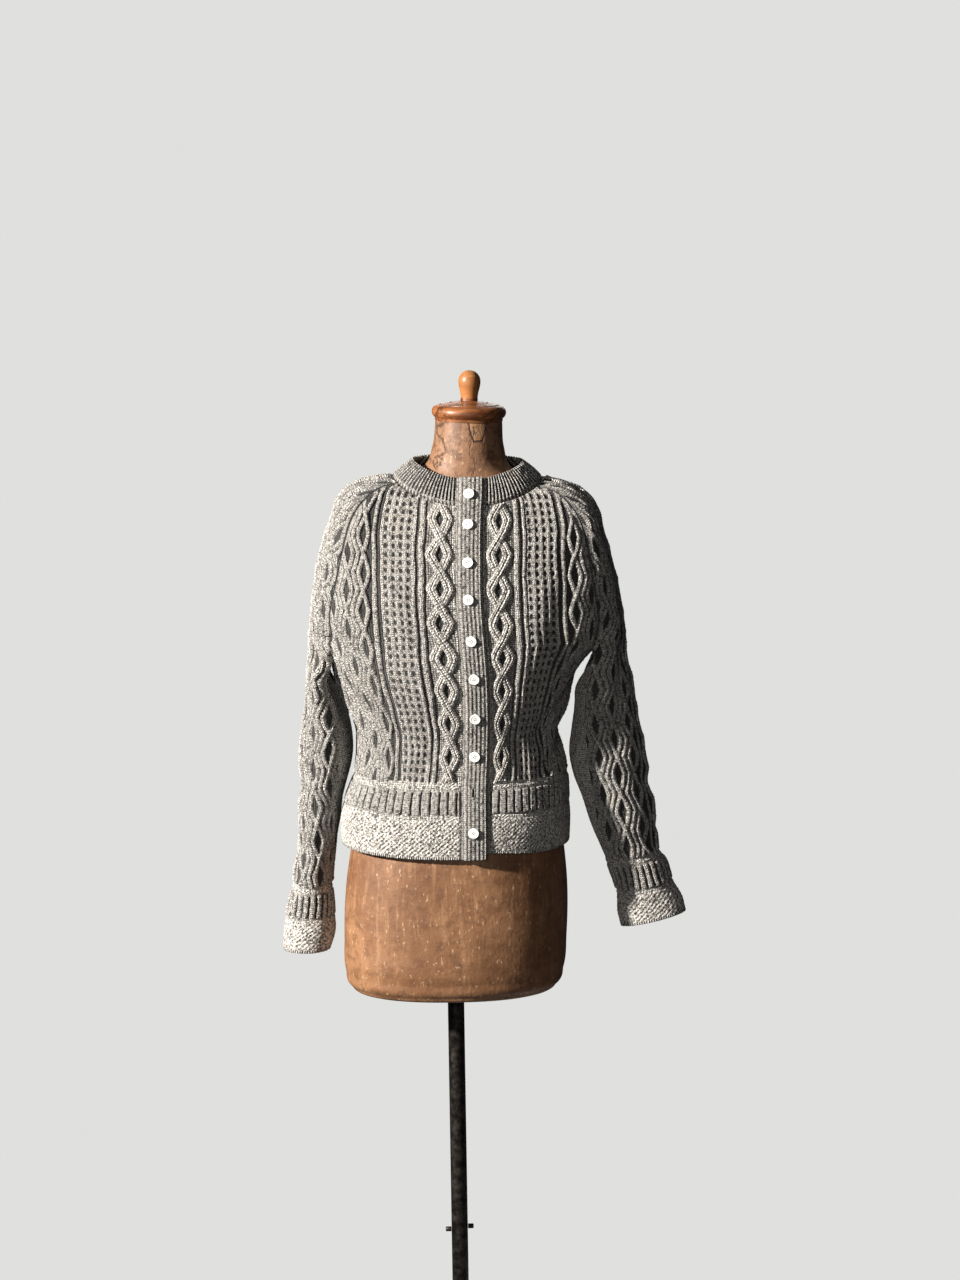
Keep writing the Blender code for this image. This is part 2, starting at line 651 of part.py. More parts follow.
def cap_arch(front, over, back):
    """Rounded arch from a point of the front raglan over the outer line to the back raglan."""
    centre = (front + back) / 2
    angle = np.linspace(0.0, math.pi, 241)
    cosine = np.sign(np.cos(angle)) * np.abs(np.cos(angle)) ** (2 / SECTION_POWER)
    sine = np.sin(angle) ** (2 / SECTION_POWER)
    return centre + (front - centre) * cosine[:, None] + (over - centre) * sine[:, None]


def cap_rows(side, front_seam, over, back_seam):
    """Rows of the sleeve cap, nearing the neck's curve as they rise."""
    turn = np.interp(np.linspace(0.0, math.pi, 241), (0, math.pi / 2, math.pi),
                     (raglan_angle("front"), math.pi / 2, raglan_angle("back")))
    change = ring_point(NECK_SEAM, side * turn) - cap_arch(front_seam[-1], over[-1], back_seam[-1])
    rows = []
    for i in range(YOKE_ROWS + 1):
        line = cap_arch(front_seam[i], over[i], back_seam[i]) + change * soft_step((i / YOKE_ROWS - 0.4) / 0.6)
        halves = [even(line[:121], SLEEVE_COLUMNS // 2 + 1), even(line[120:], SLEEVE_COLUMNS // 2 + 1)]
        rows.append(np.vstack([halves[0], halves[1][1:]]))
    return rows


def tube_row(section, side):
    """Closed ring of the sleeve below the underarm, from the side seam round the front."""
    z, out, depth, half_width, half_depth, turn, rise = section
    angle = np.linspace(0.0, 2 * math.pi, 361)
    across = -half_width * np.cos(angle)
    ahead = -half_depth * np.sin(angle)
    turned = math.radians(turn)
    x = across * math.cos(turned) - ahead * math.sin(turned)
    y = across * math.sin(turned) + ahead * math.cos(turned)
    line = np.stack([side * (out + x), depth + y, z + rise * across], axis=1)
    steps = np.linalg.norm(np.diff(line, axis=0), axis=1)
    length = np.concatenate(([0.0], np.cumsum(steps))) / steps.sum()
    marks = np.concatenate([
        np.linspace(0.0, SLEEVE_ARC_SHARE, ARC_COLUMNS + 1)[:-1],
        np.linspace(SLEEVE_ARC_SHARE, 1 - SLEEVE_ARC_SHARE, SLEEVE_COLUMNS + 1)[:-1],
        np.linspace(1 - SLEEVE_ARC_SHARE, 1.0, ARC_COLUMNS + 1)[:-1],
    ])
    return np.stack([np.interp(marks, length, line[:, k]) for k in range(3)], axis=1)


def ring_chart(ring, over, heights):
    """Chart of a sleeve row: signed distance from its outer line, negative to the front."""
    steps = np.linalg.norm(np.diff(ring, axis=0), axis=1)
    length = np.concatenate(([0.0], np.cumsum(steps)))
    return np.stack([length - length[over], heights], axis=1)


def make_sleeve(name, side, front_seam, back_seam, front_arc, back_arc):
    """Raglan sleeve: a tube from the cuff to the underarm and a cap from there to the neck."""
    cloth = Cloth(name, FACES["sleeve"], sleeve_relief, SLEEVE_FOLDS)
    over = shoulder_points(side)
    caps = cap_rows(side, front_seam, over, back_seam)
    top_ring = np.vstack([front_arc[::-1][:-1], caps[0], back_arc[1:-1]])
    sections = by_height(RIGHT_SLEEVE if side > 0 else LEFT_SLEEVE)
    first = (RIGHT_SLEEVE if side > 0 else LEFT_SLEEVE)[0][0]
    rows, charts = [], []
    for z in np.linspace(first, UNDERARM, SLEEVE_ROWS + 1):
        ring = tube_row((z, *sections(z)), side)
        under = top_ring + np.array([0.0, 0.0, z - UNDERARM])
        ring = mix(under, ring, soft_step((UNDERARM - z) / CAP_BLEND))
        rows.append(ring)
        charts.append(ring_chart(ring, ARC_COLUMNS + SLEEVE_COLUMNS // 2, np.full(len(ring), z - first)))
    low = cloth.add_points(np.array(rows), np.array(charts))
    rise = np.linalg.norm(over[1] - over[0])
    cap_charts = [ring_chart(row, SLEEVE_COLUMNS // 2, np.full(len(row), UNDERARM - first + (i + 1) * rise))
                  for i, row in enumerate(caps[1:])]
    high = cloth.add_points(np.array(caps[1:]), np.array(cap_charts))
    closed = np.hstack([low, low[:, :1]])
    open_numbers = np.vstack([low[-1:, ARC_COLUMNS:ARC_COLUMNS + SLEEVE_COLUMNS + 1], high])
    cloth.add_quads(closed, side < 0)
    cloth.add_quads(open_numbers, side < 0)
    cloth.edges = {
        "arc_front": low[-1, :ARC_COLUMNS + 1][::-1],
        "arc_back": closed[-1, -ARC_COLUMNS - 1:],
        "raglan_front": open_numbers[:, 0],
        "raglan_back": open_numbers[:, -1],
        "neck": high[-1],
        "neck_reversed": high[-1][::-1],
    }
    return cloth


def neck_wall(bottom, low_angle, high_angle):
    """Rows from the neck seam up to the top edge of the neckband."""
    rows = []
    top = ring_point(NECK_TOP_EDGE, high_angle)
    outward = np.stack([np.sin(low_angle), -np.cos(low_angle), np.zeros_like(low_angle)], axis=-1)
    for rise in np.linspace(0.0, 1.0, NECK_ROWS + 1):
        rows.append(mix(bottom, top, rise) + outward * NECK_BULGE * math.sin(math.pi * rise))
    return np.array(rows)


def make_neckband(front_right, sleeve_right, back, sleeve_left, front_left):
    """Ribbed band round the neck from the buttonhole band round the back to the button band."""
    cloth = Cloth("neckband", FACES["neckband"], neckband_relief, ())
    stretches = [
        front_right.points[front_right.edges["neck"]],
        sleeve_right.points[sleeve_right.edges["neck"]],
        back.points[back.edges["neck"]],
        sleeve_left.points[sleeve_left.edges["neck"][::-1]],
        front_left.points[front_left.edges["neck"][::-1]],
    ]
    bottom = np.vstack([stretches[0], *[stretch[1:] for stretch in stretches[1:]]])
    reach = np.where(bottom[:, 1] < 0, NECK_SEAM["front"], NECK_SEAM["back"])
    low_angle = np.unwrap(np.arctan2(bottom[:, 0] / NECK_SEAM["half"], -bottom[:, 1] / reach))
    high_angle = low_angle.copy()
    for end, order in ((0, 1), (-1, -1)):
        shift = float(ring_angle(NECK_TOP_EDGE, bottom[end, 0]) - ring_angle(NECK_SEAM, bottom[end, 0]))
        fall = np.linspace(1.0, 0.0, FRONT_COLUMNS + 1)
        picked = high_angle[:FRONT_COLUMNS + 1] if order > 0 else high_angle[::-1][:FRONT_COLUMNS + 1]
        picked += shift * fall
    rows = neck_wall(bottom, low_angle, high_angle)
    length = np.concatenate(([0.0], np.cumsum(np.linalg.norm(np.diff(bottom, axis=0), axis=1))))
    chart = np.zeros(rows.shape[:2] + (2,))
    chart[..., 0] = length
    chart[..., 1] = np.linspace(0.0, 1.0, NECK_ROWS + 1)[:, None]
    numbers = cloth.add_points(rows, chart)
    cloth.add_quads(numbers, True)
    marks = np.cumsum([0] + [len(stretch) - 1 for stretch in stretches])
    names = ("front_right", "sleeve_right", "back", "sleeve_left", "front_left")
    cloth.edges = {name: numbers[0, low:high + 1] for name, low, high in zip(names, marks, marks[1:])}
    cloth.edges["start"] = numbers[:, 0]
    cloth.edges["end"] = numbers[:, -1]
    return cloth


def make_band(name, lines, offsets, relief, lift_at):
    """Front band from the hem up to the top of the neckband, at offsets from the button line."""
    cloth = Cloth(name, None, relief, ())
    rows = []
    for line in lines[::BAND_STEP]:
        middle = float(upright_button_x(np.interp(0.0, line[:, 0], line[:, 2])))
        rows.append([[np.interp(middle + offset, line[:, 0], line[:, k]) for k in range(3)] for offset in offsets])
    bottom = np.array(rows[-1])
    wall = neck_wall(bottom, ring_angle(NECK_SEAM, bottom[:, 0]), ring_angle(NECK_TOP_EDGE, bottom[:, 0]))
    seam_rows = len(rows)
    rows = np.vstack([np.array(rows), wall[NECK_ROWS // 2::NECK_ROWS // 2]])
    chart = np.zeros(rows.shape[:2] + (2,))
    chart[..., 0] = offsets
    chart[..., 1] = rows[..., 2]
    numbers = cloth.add_points(rows, chart)
    cloth.add_quads(numbers, False)
    cloth.lift = lift_at(chart[..., 0].reshape(-1))
    cloth.edges = {
        "left_low": numbers[:seam_rows, 0],
        "left_high": numbers[seam_rows - 1:, 0],
        "right_low": numbers[:seam_rows, -1],
        "right_high": numbers[seam_rows - 1:, -1],
        "middle": numbers[:, len(offsets) // 2],
    }
    return cloth


# ---------------------------------------------------------------- seams and closed walls

def sew(seams):
    """Give both sides of every seam the same straight stretches, facing and small gap.

    Where the cloth folds back on itself under the arm the seam faces into the fold.
    """
    for seam in seams:
        (first, a), (second, b) = seam["first"], seam["second"]
        seam["marks"] = [np.linspace(0, len(numbers) - 1, seam["stretches"] + 1).round().astype(int)
                         for numbers in (a, b)]
        a, b = a[seam["marks"][0]], b[seam["marks"][1]]
        fold = seam["fold"]
        into_first, into_second = unit(first.inward[a]), unit(second.inward[b])
        seam["facing"] = unit(first.normals[a] + second.normals[b] + (into_first + into_second) * fold)
        seam["apart"] = into_first - into_second + (second.normals[b] - first.normals[a]) * fold
        seam["places"] = first.points[a].copy()
    ends = {}
    for seam in seams:
        for end in (0, -1):
            key = tuple(np.round(seam["places"][end], 5))
            ends.setdefault(key, []).append((seam, end))
    for group in ends.values():
        shared = unit(sum(seam["facing"][end] for seam, end in group))
        for seam, end in group:
            seam["facing"][end] = shared
    for seam in seams:
        (first, a), (second, b) = seam["first"], seam["second"]
        tangent = unit(np.gradient(seam["places"], axis=0))
        side = unit(np.cross(tangent, seam["facing"]))
        side = side * (1 if np.sum(side * seam["apart"]) > 0 else -1)
        for cloth, numbers, sign, marks in ((first, a, 1, seam["marks"][0]), (second, b, -1, seam["marks"][1])):
            index = np.arange(len(numbers))
            spread = [np.stack([np.interp(index, marks, values[:, k]) for k in range(3)], axis=1)
                      for values in (seam["places"], seam["facing"], side)]
            cloth.points[numbers] = spread[0]
            cloth.normals[numbers] = unit(spread[1])
            cloth.offset[numbers] += spread[2] * sign * SEAM_GAP / 2
            cloth.held[numbers[marks]] = True
            cloth.rim[numbers] = True


def nearest_seam(cloth):
    """Distance of every point of a piece from its nearest seam, and how the seam faces there."""
    rim = np.flatnonzero(cloth.rim)
    tree = kdtree.KDTree(len(rim))
    for number in rim:
        tree.insert(cloth.points[number], int(number))
    tree.balance()
    found = [tree.find(point) for point in cloth.points]
    return np.array([away for place, number, away in found]), cloth.normals[[number for place, number, away in found]]


def build_wall(cloth, material, collection):
    """Closed wall: raised outer points, plain inner points, and strips along the edges."""
    away, facing = nearest_seam(cloth)
    cloth.normals = unit(mix(facing, cloth.normals, soft_step(away / SEAM_TURN)[:, None]))
    knit = cloth.relief(cloth.chart[:, 0], cloth.chart[:, 1]) * soft_step(away / SEAM_PLAIN)
    fold = fold_depth(cloth.chart[:, 0], cloth.points[:, 2], cloth.folds) * soft_step(away / FOLD_FADE)
    base = cloth.points + cloth.offset + cloth.normals * (cloth.lift + fold)[:, None]
    outer = lean(base + cloth.normals * knit[:, None])
    inner = lean(base - cloth.normals * WALL)
    data = bmesh.new()
    count = len(outer)
    verts = [data.verts.new(point) for point in np.vstack([outer, inner])]
    used = set()
    for quad in cloth.quads:
        data.faces.new([verts[v] for v in quad])
        data.faces.new([verts[v + count] for v in reversed(quad)])
        used.update(zip(quad, quad[1:] + quad[:1]))
    for a, b in used:
        if (b, a) not in used:
            data.faces.new([verts[b], verts[a], verts[a + count], verts[b + count]])
    item = add_object(cloth.name, data, material, collection)
    if cloth.faces:
        thin(item, cloth.faces, np.concatenate([cloth.held, cloth.held]))
    return item


def add_object(name, data, material, collection):
    mesh = bpy.data.meshes.new(name)
    data.to_mesh(mesh)
    data.free()
    item = bpy.data.objects.new(name, mesh)
    collection.objects.link(item)
    mesh.materials.append(material)
    mesh.shade_smooth()
    mesh.set_sharp_from_angle(angle=math.radians(50))
    return item


def thin(item, faces, held):
    """Reduce a fine mesh to about a number of triangles, with the held points left in place."""
    group = item.vertex_groups.new(name="free")
    group.add([k for k in range(len(held)) if not held[k]], 1.0, "REPLACE")
    triangles = sum(len(face.vertices) - 2 for face in item.data.polygons)
    modifier = item.modifiers.new("thin", "DECIMATE")
    modifier.vertex_group = group.name
    modifier.use_collapse_triangulate = True
    modifier.ratio = min(1.0, faces / triangles)


# ---------------------------------------------------------------- garment

def hang_hem(points, step):
    """Let the hem rise a little at the sides, and step up by the button band on one front."""
    x, z = points[:, 0], points[:, 2]
    low = soft_step((1.0 - z) / 0.10)
    points[:, 2] = z + HEM_RISE * low * (x / 0.16) ** 2
    if step:
        near = np.exp(-((x - 0.045) / 0.045) ** 2) * soft_step((0.955 - z) / 0.06)
        points[:, 2] += HEM_STEP * near


def make_garment(materials, collection):
    front_seams = {side: raglan(side, "front") for side in (-1, 1)}
    back_seams = {side: raglan(side, "back") for side in (-1, 1)}
    front_lines = body_rows("front", front_seams[-1], front_seams[1])
    back_lines = body_rows("back", back_seams[-1], back_seams[1])

    front_right = make_front("front_right", -1, front_lines, lambda z: upright_button_x(z) - BAND_HALF_WIDTH)
    front_left = make_front("front_left", 1, front_lines, lambda z: upright_button_x(z) + UNDER_BAND_OUTER)
    back = make_back(back_lines)
    sleeves = {}
    for side, name, front, arc in ((-1, "sleeve_right", front_right, "arc_left"),
                                   (1, "sleeve_left", front_left, "arc_right")):
        sleeves[side] = make_sleeve(name, side, front_seams[side], back_seams[side],
                                    front.points[front.edges["arc"]], back.points[back.edges[arc]])
    neckband = make_neckband(front_right, sleeves[-1], back, sleeves[1], front_left)
    top_band = make_band("buttonhole_band", front_lines, TOP_BAND_OFFSETS, band_relief,
                         lambda w: BAND_LIFT * soft_step((w + BAND_HALF_WIDTH) / 0.0082))
    under_band = make_band("button_band", front_lines, UNDER_BAND_OFFSETS, under_band_relief,
                           lambda w: np.zeros_like(w))

    pieces = [front_right, front_left, back, sleeves[-1], sleeves[1], neckband, top_band, under_band]
    for piece in pieces:
        if piece.name in ("front_right", "front_left", "back", "buttonhole_band", "button_band"):
            hang_hem(piece.points, piece.name in ("front_left", "button_band"))
        piece.find_normals()

    def seam(first, edge, second, other, stretches, fold=0.0):
        return {"first": (first, first.edges[edge]), "second": (second, second.edges[other]),
                "stretches": stretches, "fold": fold}

    sew([
        seam(front_right, "side", back, "side_left", 18),
        seam(front_left, "side", back, "side_right", 18),
        seam(front_right, "arc", sleeves[-1], "arc_front", 8, fold=1.0),
        seam(front_left, "arc", sleeves[1], "arc_front", 8, fold=1.0),
        seam(back, "arc_left", sleeves[-1], "arc_back", 8, fold=1.0),
        seam(back, "arc_right", sleeves[1], "arc_back", 8, fold=1.0),
        seam(front_right, "raglan", sleeves[-1], "raglan_front", 16),
        seam(front_left, "raglan", sleeves[1], "raglan_front", 16),
        seam(back, "raglan_left", sleeves[-1], "raglan_back", 16),
        seam(back, "raglan_right", sleeves[1], "raglan_back", 16),
        seam(front_right, "neck", neckband, "front_right", 6),
        seam(sleeves[-1], "neck", neckband, "sleeve_right", 7),
        seam(back, "neck", neckband, "back", 11),
        seam(sleeves[1], "neck_reversed", neckband, "sleeve_left", 7),
        seam(front_left, "neck_reversed", neckband, "front_left", 6),
        seam(front_right, "band", top_band, "left_low", 17),
        seam(front_left, "band", under_band, "right_low", 17),
        seam(neckband, "start", top_band, "left_high", 2),
        seam(neckband, "end", under_band, "right_high", 2),
    ])
    for piece in pieces:
        build_wall(piece, materials["wool"], collection)
    make_buttons(top_band, materials["shell"], collection)


def make_buttons(band, material, collection):
    """Nine dished buttons on the crests of the band's ribs."""
    middle = band.edges["middle"]
    points = band.points[middle] + band.normals[middle] * (BAND_LIFT + BAND_RIB["height"] + BUTTON_GAP)
    places = lean(points)
    for k, height in enumerate(BUTTON_HEIGHTS):
        place = [np.interp(height, places[:, 2], places[:, axis]) for axis in range(3)]
        facing = [np.interp(height, places[:, 2], band.normals[middle][:, axis]) for axis in range(3)]
        half, rim = BUTTON_THICKNESS / 2, BUTTON_RADIUS
        profile = [(0.0, half * 1.35), (rim * 0.55, half * 1.30), (rim * 0.82, half * 2.0),
                   (rim, half * 1.3), (rim * 0.86, 0.0), (0.0, 0.0)]
        item = turned("button_%d" % (k + 1), profile, 12, material, collection)
        item.location = place
        item.rotation_euler = Vector(facing).to_track_quat("Z", "Y").to_euler()


# ---------------------------------------------------------------- form and stand

def turned(name, profile, sides, material, collection):
    """Turned piece from its profile, top to bottom, as a screw about its own Z."""
    mesh = bpy.data.meshes.new(name)
    mesh.from_pydata([(radius, 0.0, height) for radius, height in profile],
                     [(k, k + 1) for k in range(len(profile) - 1)], [])
    mesh.materials.append(material)
    item = bpy.data.objects.new(name, mesh)
    collection.objects.link(item)
    screw = item.modifiers.new("turn", "SCREW")
    screw.steps = sides
    screw.render_steps = sides
    screw.use_merge_vertices = True
    screw.merge_threshold = 0.00001
    screw.use_smooth_shade = True
    return item


def make_form(material, collection):
    """Limbless torso as a loft of rounded sections, closed under the hips and at the neck."""
    rows = by_height(FORM_SECTIONS)
    data = bmesh.new()
    rings = []
    for z, *_ in FORM_SECTIONS:
        half_width, front, back = rows(z)
        ring = []
        for k in range(FORM_COLUMNS):
            angle = 2 * math.pi * k / FORM_COLUMNS
            power = 2 / FORM_POWER if z < FORM_NECK_START else 1.0
            out = math.copysign(abs(math.cos(angle)) ** power, math.cos(angle)) * half_width
            deep = math.copysign(abs(math.sin(angle)) ** power, math.sin(angle))
            point = np.array([out + FORM_SHIFT * (z < FORM_NECK_START), deep * (back if deep > 0 else front), z])
            ring.append(data.verts.new(lean(point)))
        rings.append(ring)
    for low, high in zip(rings, rings[1:]):
        for k in range(FORM_COLUMNS):
            data.faces.new([low[k - 1], low[k], high[k], high[k - 1]])
    data.faces.new(list(reversed(rings[0])))
    data.faces.new(rings[-1])
    return add_object("form_torso", data, material, collection)


def make_stand(materials, collection):
    cap_tilt = math.atan(TILT)
    neck = lean(np.array([0.0, 0.0, NECK_TOP]))
    cap = turned("form_cap", CAP_PROFILE, 28, materials["wood"], collection)
    cap.location = neck + np.array([0.0, 0.0, FIT_GAP])
    cap.rotation_euler = (0.0, cap_tilt, 0.0)
    knob = turned("form_knob", KNOB_PROFILE, 16, materials["wood"], collection)
    knob.parent = cap
    knob.location = (0.0, 0.0, CAP_PROFILE[0][1] + FIT_GAP)
    turned("pole", [(0.0, FORM_BOTTOM - FIT_GAP), (POLE_RADIUS, FORM_BOTTOM - FIT_GAP),
                    (POLE_RADIUS, BASE_THICKNESS + FIT_GAP), (0.0, BASE_THICKNESS + FIT_GAP)],
           POLE_SIDES, materials["steel"], collection)
    inner = POLE_RADIUS + FIT_GAP
    turned("base", [(0.0, BASE_THICKNESS), (inner, BASE_THICKNESS), (inner, SOCKET_HEIGHT),
                    (SOCKET_RADIUS - 0.002, SOCKET_HEIGHT), (SOCKET_RADIUS, SOCKET_HEIGHT - 0.002),
                    (SOCKET_RADIUS, BASE_THICKNESS + 0.004), (BASE_RADIUS - 0.006, BASE_THICKNESS),
                    (BASE_RADIUS, BASE_THICKNESS - 0.005), (BASE_RADIUS, 0.0), (0.0, 0.0)],
           32, materials["iron"], collection)
    for k, (side, height) in enumerate(zip((-1, 1), SET_SCREW_HEIGHTS)):
        screw = turned("set_screw_%d" % (k + 1),
                       [(0.0, SET_SCREW_LENGTH), (SET_SCREW_RADIUS * 0.8, SET_SCREW_LENGTH),
                        (SET_SCREW_RADIUS, SET_SCREW_LENGTH * 0.85), (SET_SCREW_RADIUS, 0.0), (0.0, 0.0)],
                       10, materials["steel"], collection)
        screw.location = (side * (POLE_RADIUS + FIT_GAP), 0.0, height)
        screw.rotation_euler = (0.0, side * math.pi / 2, 0.0)


# ---------------------------------------------------------------- materials and assembly

def make_material(name, color, roughness, metallic=0.0):
    material = bpy.data.materials.new(name)
    material.use_nodes = True
    shader = material.node_tree.nodes["Principled BSDF"]
    shader.inputs["Base Color"].default_value = (*color, 1.0)
    shader.inputs["Roughness"].default_value = roughness
    shader.inputs["Metallic"].default_value = metallic
    return material


def main():
    for item in list(bpy.data.objects):
        bpy.data.objects.remove(item, do_unlink=True)
    collection = bpy.data.collections.new("cable_knit_cardigan")
    bpy.context.scene.collection.children.link(collection)
    materials = {
        "wool": make_material("wool", (0.36, 0.34, 0.31), 0.95),
        "shell": make_material("shell", (0.80, 0.78, 0.72), 0.30),
        "papier": make_material("papier", (0.27, 0.15, 0.08), 0.50),
        "wood": make_material("wood", (0.38, 0.15, 0.05), 0.35),
        "steel": make_material("steel", (0.05, 0.045, 0.04), 0.45, 0.8),
        "iron": make_material("iron", (0.03, 0.03, 0.03), 0.60, 0.6),
    }
    make_garment(materials, collection)
    make_form(materials["papier"], collection)
    make_stand(materials, collection)


main()
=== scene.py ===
# Grey cable-knit cardigan worn by a limbless dress form on a steel pole.
# numpy lays out each knitted piece stitch row by stitch row, Geometry Nodes raise its cables and ribs,
# and one wool material draws the single stitches, with painted shade in their gaps and pits, from the attributes that
# the trees leave on the mesh.

import math

import bmesh
import bpy
import numpy as np
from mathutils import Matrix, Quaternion, Vector, kdtree


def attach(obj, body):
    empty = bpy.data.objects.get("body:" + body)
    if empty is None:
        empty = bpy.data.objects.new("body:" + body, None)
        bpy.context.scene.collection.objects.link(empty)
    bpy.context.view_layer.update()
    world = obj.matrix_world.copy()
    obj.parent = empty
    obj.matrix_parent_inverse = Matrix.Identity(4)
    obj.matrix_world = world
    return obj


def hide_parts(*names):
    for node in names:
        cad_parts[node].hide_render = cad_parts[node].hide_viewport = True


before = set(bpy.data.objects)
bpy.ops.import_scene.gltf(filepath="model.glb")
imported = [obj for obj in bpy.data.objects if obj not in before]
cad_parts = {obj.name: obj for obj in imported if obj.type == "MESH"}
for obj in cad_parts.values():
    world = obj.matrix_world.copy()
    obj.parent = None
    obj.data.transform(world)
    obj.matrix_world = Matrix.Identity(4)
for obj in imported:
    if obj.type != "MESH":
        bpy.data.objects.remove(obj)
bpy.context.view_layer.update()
print("frame loaded:", len(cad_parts), "nodes")

# how the old form stands: the figure leans to the right and its shoulders tip with it
stance = {"foot": 0.680, "lean": 0.0384, "tilt": 0.033, "tiltStart": 0.95, "tiltEnd": 1.30}

# the cut of the cardigan
cardigan = {
    "hem": 0.889, "underarm": 1.185, "frontEdge": -0.060, "backEdge": 0.056, "power": 2.4,
    "raglanFront": -0.036, "raglanBack": 0.028, "bandHalf": 0.0165, "underBandOuter": 0.0235, "bandLift": 0.0041,
    "bandTurn": 0.0082, "arcShare": 0.16, "capBlend": 0.085, "neckBulge": 0.002, "underBandInner": -0.0080,
}

# the cloth itself; only seams wider than seamWide sink into a groove, which gets painted shade shadeWide across
wool = {"wall": 0.003, "seamGap": 0.0004, "seamTurn": 0.012, "foldFade": 0.014, "innerStep": 4,
        "seamWide": 0.0045, "grooveDeep": 0.0013, "grooveWide": 0.0028, "shadeWide": 0.0030}

# steps across and along each piece, all multiples of innerStep
grid = {"bodyRows": 216, "yokeRows": 172, "front": 136, "back": 184, "arc": 36, "sleeve": 124, "sleeveRows": 240,
        "neckRows": 28, "topBand": 40, "underBand": 32}

# how finely each kind of line is drawn before it is cut into even steps
samples = {"line": 480, "arch": 240, "ring": 360, "seam": 400}


# return a function for the smooth curve through rows of values at rising keys
def smoothCurve(keys, values):
    keys = np.asarray(keys, float)
    values = np.asarray(values, float)
    slopes = np.gradient(values, keys, axis=0)

    def at(key):
        key = np.clip(np.asarray(key, float), keys[0], keys[-1])
        low = np.clip(np.searchsorted(keys, key) - 1, 0, len(keys) - 2)
        step = keys[low + 1] - keys[low]
        part = (key - keys[low]) / step
        if values.ndim > 1:
            part = part[..., None]
            step = step[..., None]
        near = (1 + 2 * part) * (1 - part) ** 2 * values[low] + part * (1 - part) ** 2 * step * slopes[low]
        far = part ** 2 * (3 - 2 * part) * values[low + 1] - part ** 2 * (1 - part) * step * slopes[low + 1]
        return near + far

    return at


# smooth curve through a table whose first column is the height
def byHeight(table):
    rows = np.array(table)
    return smoothCurve(rows[:, 0], rows[:, 1:])


def softStep(value):
    part = np.clip(value, 0.0, 1.0)
    return part * part * (3 - 2 * part)


def mix(first, second, share):
    return first * (1 - share) + second * share


def unit(vectors):
    return vectors / np.maximum(np.linalg.norm(vectors, axis=-1, keepdims=True), 1e-12)


# distance from the first point of a line to each of its points
def runOf(points):
    steps = np.linalg.norm(np.diff(points, axis=0), axis=1)
    return np.concatenate(([0.0], np.cumsum(steps)))


# lean upright points to the right, and tip the shoulders with them
def lean(points):
    points = np.asarray(points, float)
    x, y, z = points[..., 0], points[..., 1], points[..., 2]
    tip = stance["tilt"] * softStep((z - stance["tiltStart"]) / (stance["tiltEnd"] - stance["tiltStart"]))
    return np.stack([x + stance["lean"] * (z - stance["foot"]), y, z - tip * x], axis=-1)


# large folds of the cloth, as (distance along the row, height) from start to end, depth and width
bodyFolds = (
    (0.250, 1.150, 0.130, 1.060, -0.0035, 0.016),
    (0.255, 1.110, 0.160, 1.035, 0.0030, 0.013),
    (0.235, 1.050, 0.120, 1.000, -0.0030, 0.012),
    (0.150, 1.300, 0.110, 1.190, -0.0025, 0.018),
    (0.095, 1.250, 0.080, 1.105, 0.0026, 0.019),
    (0.185, 1.255, 0.215, 1.200, -0.0036, 0.012),
    (0.215, 1.010, 0.140, 0.992, 0.0024, 0.011),
    (0.060, 1.060, 0.085, 1.005, -0.0022, 0.015),
    (-0.145, 1.290, -0.118, 1.175, -0.0026, 0.017),
    (-0.240, 1.140, -0.150, 1.050, -0.0032, 0.015),
    (-0.235, 1.080, -0.125, 1.005, 0.0026, 0.012),
    (-0.070, 1.120, -0.040, 1.010, -0.0022, 0.018),
)

sleeveFolds = (
    (-0.074, 1.340, -0.064, 1.190, 0.0030, 0.015),
    (-0.064, 1.190, -0.098, 1.040, 0.0040, 0.016),
    (-0.048, 1.320, -0.042, 1.160, -0.0040, 0.015),
    (-0.042, 1.160, -0.070, 1.020, -0.0050, 0.016),
    (0.070, 1.300, 0.080, 1.080, -0.0050, 0.016),
    (-0.060, 0.990, 0.020, 0.960, -0.0040, 0.014),
    (0.060, 0.930, -0.010, 0.900, -0.0035, 0.013),
    (-0.050, 0.890, 0.010, 0.870, -0.0030, 0.011),
)


# soft troughs and ridges along straight stretches of the cloth
def foldDepth(p, z, folds):
    depth = np.zeros(np.broadcast(p, z).shape)
    for p0, z0, p1, z1, height, width in folds:
        run = np.array([p1 - p0, z1 - z0])
        part = np.clip(((p - p0) * run[0] + (z - z0) * run[1]) / (run @ run), 0.0, 1.0)
        away = np.hypot(p - p0 - part * run[0], z - z0 - part * run[1])
        depth = depth + height * np.exp(-(away / width) ** 2)
    return depth


# height, left half-width, right half-width, front depth, back depth of the body at its base surface
bodyAt = byHeight((
    (0.889, 0.1620, 0.1520, 0.116, 0.108),
    (0.925, 0.1640, 0.1520, 0.117, 0.109),
    (0.955, 0.1570, 0.1490, 0.113, 0.105),
    (0.985, 0.1475, 0.1465, 0.108, 0.099),
    (1.020, 0.1425, 0.1385, 0.105, 0.093),
    (1.055, 0.1445, 0.1295, 0.106, 0.091),
    (1.085, 0.1540, 0.1395, 0.111, 0.095),
    (1.120, 0.1720, 0.1495, 0.118, 0.101),
    (1.150, 0.1840, 0.1630, 0.122, 0.107),
    (1.185, 0.1940, 0.1940, 0.124, 0.112),
))

# height, front depth, back depth of the yoke at the centre lines
depthAt = byHeight((
    (1.185, 0.124, 0.112),
    (1.230, 0.123, 0.114),
    (1.270, 0.119, 0.113),
    (1.305, 0.112, 0.109),
    (1.335, 0.104, 0.102),
    (1.365, 0.093, 0.091),
    (1.400, 0.082, 0.074),
))

